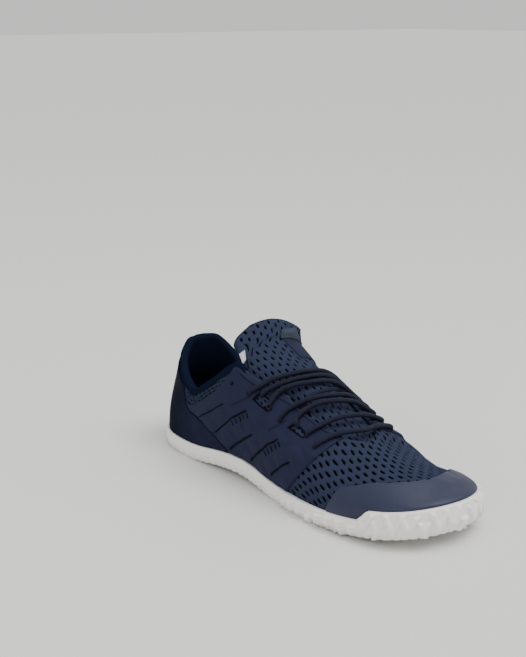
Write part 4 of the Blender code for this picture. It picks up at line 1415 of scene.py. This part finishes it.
# Tongue tab: a plain woven tab sewn on the tongue near its top, with a raised border and no words.
# A smooth strip runs down from it towards the laces, and a small bare white tab is sewn into the
# tongue's inner edge.
TAB_CELLS = 30
TAB_WALL = 0.0004
Tab = namedtuple("Tab", "name across along wide tall high colour")
TONGUE_TAB = Tab("tongue_tab", 0.705, 0.665, 0.24, 0.14, 0.0014, (0.036, 0.047, 0.068))
TONGUE_STRIP = Tab("tongue_strip", 0.705, 0.545, 0.19, 0.10, 0.0007, PANEL_COLOUR)
SIDE_TAB = Tab("tongue_side_tab", 0.045, 0.642, 0.080, 0.034, 0.0009, (0.55, 0.56, 0.58))


def tab_piece(tab):
    bm = bmesh.new()
    outer = UPPER_WALL + TONGUE_EASE

    def place(u, v):
        rim = max(abs(2 * u - 1), abs(2 * v - 1))
        proud = tab.high * (1 - run(rim, [(0.93, 0.0), (1.0, 0.75)]))
        groove = 1 - fade_in(abs(rim - 0.80), 0.02, 0.07)
        proud -= 0.25 * tab.high * groove
        point = tongue_face(tab.across + (u - 0.5) * tab.wide, tab.along + (v - 0.5) * tab.tall,
                            outer - proud)
        # The groove inside the raised border is darkened through "shade": painted shade in the
        # groove.
        return point, (point.x, point.y), (0.6 * groove,)

    flat_grid(bm, TAB_CELLS, TAB_CELLS, place, ("shade",))
    face_out(bm)
    dark = tuple(0.4 * value for value in tab.colour)
    finish = film(tab.name + " cloth", tab.colour, dark, 0.70, 0.10)
    return give_wall(make_piece(tab.name, bm, finish), TAB_WALL)


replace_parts(tab_piece(TONGUE_TAB), "tongue_label")
tab_piece(TONGUE_STRIP)
tab_piece(SIDE_TAB)


# Lace: a thin round braided cord, which runs over the tongue from eyelet to eyelet. Its ends stay
# under the top eyelets. Each bar of it runs a little forward to the outer side.
LACE_DIAMETER = 0.0034
CORD_DIVE = 0.0006
CORD_GAP = 0.0003
LACE_CELLS = 70
LACE_ROUND = 12
CORD = (0.0062, 0.0074, 0.0180)
CORD_LIGHT = (0.016, 0.019, 0.038)
Route = namedtuple("Route", "under places")
ROUTES = [
    Route(False, [(0.436, -0.82), (0.459, -0.61), (0.475, -0.48), (0.496, -0.36), (0.515, -0.22),
                  (0.529, 0.00), (0.530, 0.30), (0.527, 0.60), (0.522, 0.86)]),
    Route(False, [(0.470, -0.72), (0.487, -0.55), (0.503, -0.45), (0.520, -0.35), (0.538, -0.17),
                  (0.546, 0.05), (0.547, 0.35), (0.548, 0.62), (0.553, 0.86)]),
    Route(False, [(0.506, -0.86), (0.506, -0.73), (0.514, -0.52), (0.534, -0.37), (0.554, -0.19),
                  (0.564, 0.05), (0.567, 0.35), (0.572, 0.62), (0.580, 0.86)]),
    Route(False, [(0.547, -0.95), (0.555, -0.73), (0.571, -0.52), (0.588, -0.33), (0.603, -0.10),
                  (0.607, 0.10), (0.603, 0.40), (0.603, 0.65), (0.607, 0.86)]),
    Route(False, [(0.599, -0.84), (0.589, -0.73), (0.594, -0.52), (0.609, -0.28), (0.622, -0.05),
                  (0.626, 0.15), (0.624, 0.40), (0.628, 0.65), (0.634, 0.86)]),
    Route(False, [(0.634, -0.89), (0.644, -0.70), (0.654, -0.50), (0.664, -0.30), (0.672, -0.10),
                  (0.676, 0.15), (0.672, 0.40), (0.668, 0.65), (0.662, 0.86)]),
    Route(False, [(0.673, -1.00), (0.684, -0.82), (0.697, -0.60), (0.709, -0.40), (0.717, -0.18),
                  (0.720, 0.10), (0.714, 0.40), (0.704, 0.68), (0.694, 0.92)]),
    Route(True, [(0.590, -0.60), (0.576, -0.50), (0.572, -0.37), (0.577, -0.22), (0.580, -0.05),
                 (0.578, 0.15), (0.570, 0.35), (0.560, 0.50), (0.555, 0.60)]),
]


def braid():
    made, tree, shader = principled("navy cord", CORD, 0.7, 0.14)
    place = uv_place(tree, "cloth")
    strands = []
    for turn in (1, -1):
        turned = add_node(tree, "ShaderNodeMapping", {"Vector": place,
                                                      "Rotation": (0, 0, turn * radians(38))})
        strands.append(add_node(tree, "ShaderNodeTexWave", {"Vector": turned.outputs[0],
                                                            "Scale": 330.0},
                                wave_type="BANDS", bands_direction="X").outputs["Fac"])
    weave = math_node(tree, "MAXIMUM", *strands)
    height, tone = add_grain(tree, object_place(tree), 2600.0)
    colour_with(tree, shader, map_range(tree, weave, 0.55, 1.0, 0.0, 1.0), CORD, CORD_LIGHT)
    roughen(tree, shader, tone, 0.62, 0.78)
    bump(tree, shader, weave, 0.00022)
    return made


def lace_point(route, s):
    """Middle of the cord: it rises out of an eyelet, lies over the throat and dives in again."""
    places = [Vector(place) for place in route.places]
    places = [places[0] * 2 - places[1]] + places + [places[-1] * 2 - places[-2]]
    at, across = spline(places, s * (len(route.places) - 1))
    if route.under:
        return throat_point(at, across, LACE_DIAMETER / 2 - UPPER_WALL - TONGUE_EASE + CORD_GAP)
    out = fade_in(min(s, 1 - s), 0.0, 0.05)
    rest = PANEL_PROUD + LACE_DIAMETER / 2
    return throat_point(at, across, -CORD_DIVE + (rest + CORD_DIVE) * out)


def laces_piece():
    bm = bmesh.new()
    for route in ROUTES:
        path = [lace_point(route, k / LACE_CELLS) for k in range(LACE_CELLS + 1)]
        lengths = [0.0]
        for a, b in zip(path, path[1:]):
            lengths.append(lengths[-1] + (b - a).length)

        def place(u, v):
            k = round(v * LACE_CELLS)
            along = (path[min(k + 1, LACE_CELLS)] - path[max(k - 1, 0)]).normalized()
            side = along.cross(Vector((0, 0, 1))).normalized()
            upward = side.cross(along)
            turn = 2 * pi * u
            point = path[k] + (side * cos(turn) + upward * sin(turn)) * LACE_DIAMETER / 2
            return point, (lengths[k], u * pi * LACE_DIAMETER), ()

        flat_grid(bm, LACE_ROUND, LACE_CELLS, place)
    weld(bm)
    bmesh.ops.holes_fill(bm, edges=[e for e in bm.edges if e.is_boundary])
    bmesh.ops.recalc_face_normals(bm, faces=bm.faces)
    return make_piece("lace_cord", bm, braid())


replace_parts(laces_piece(), "laces")
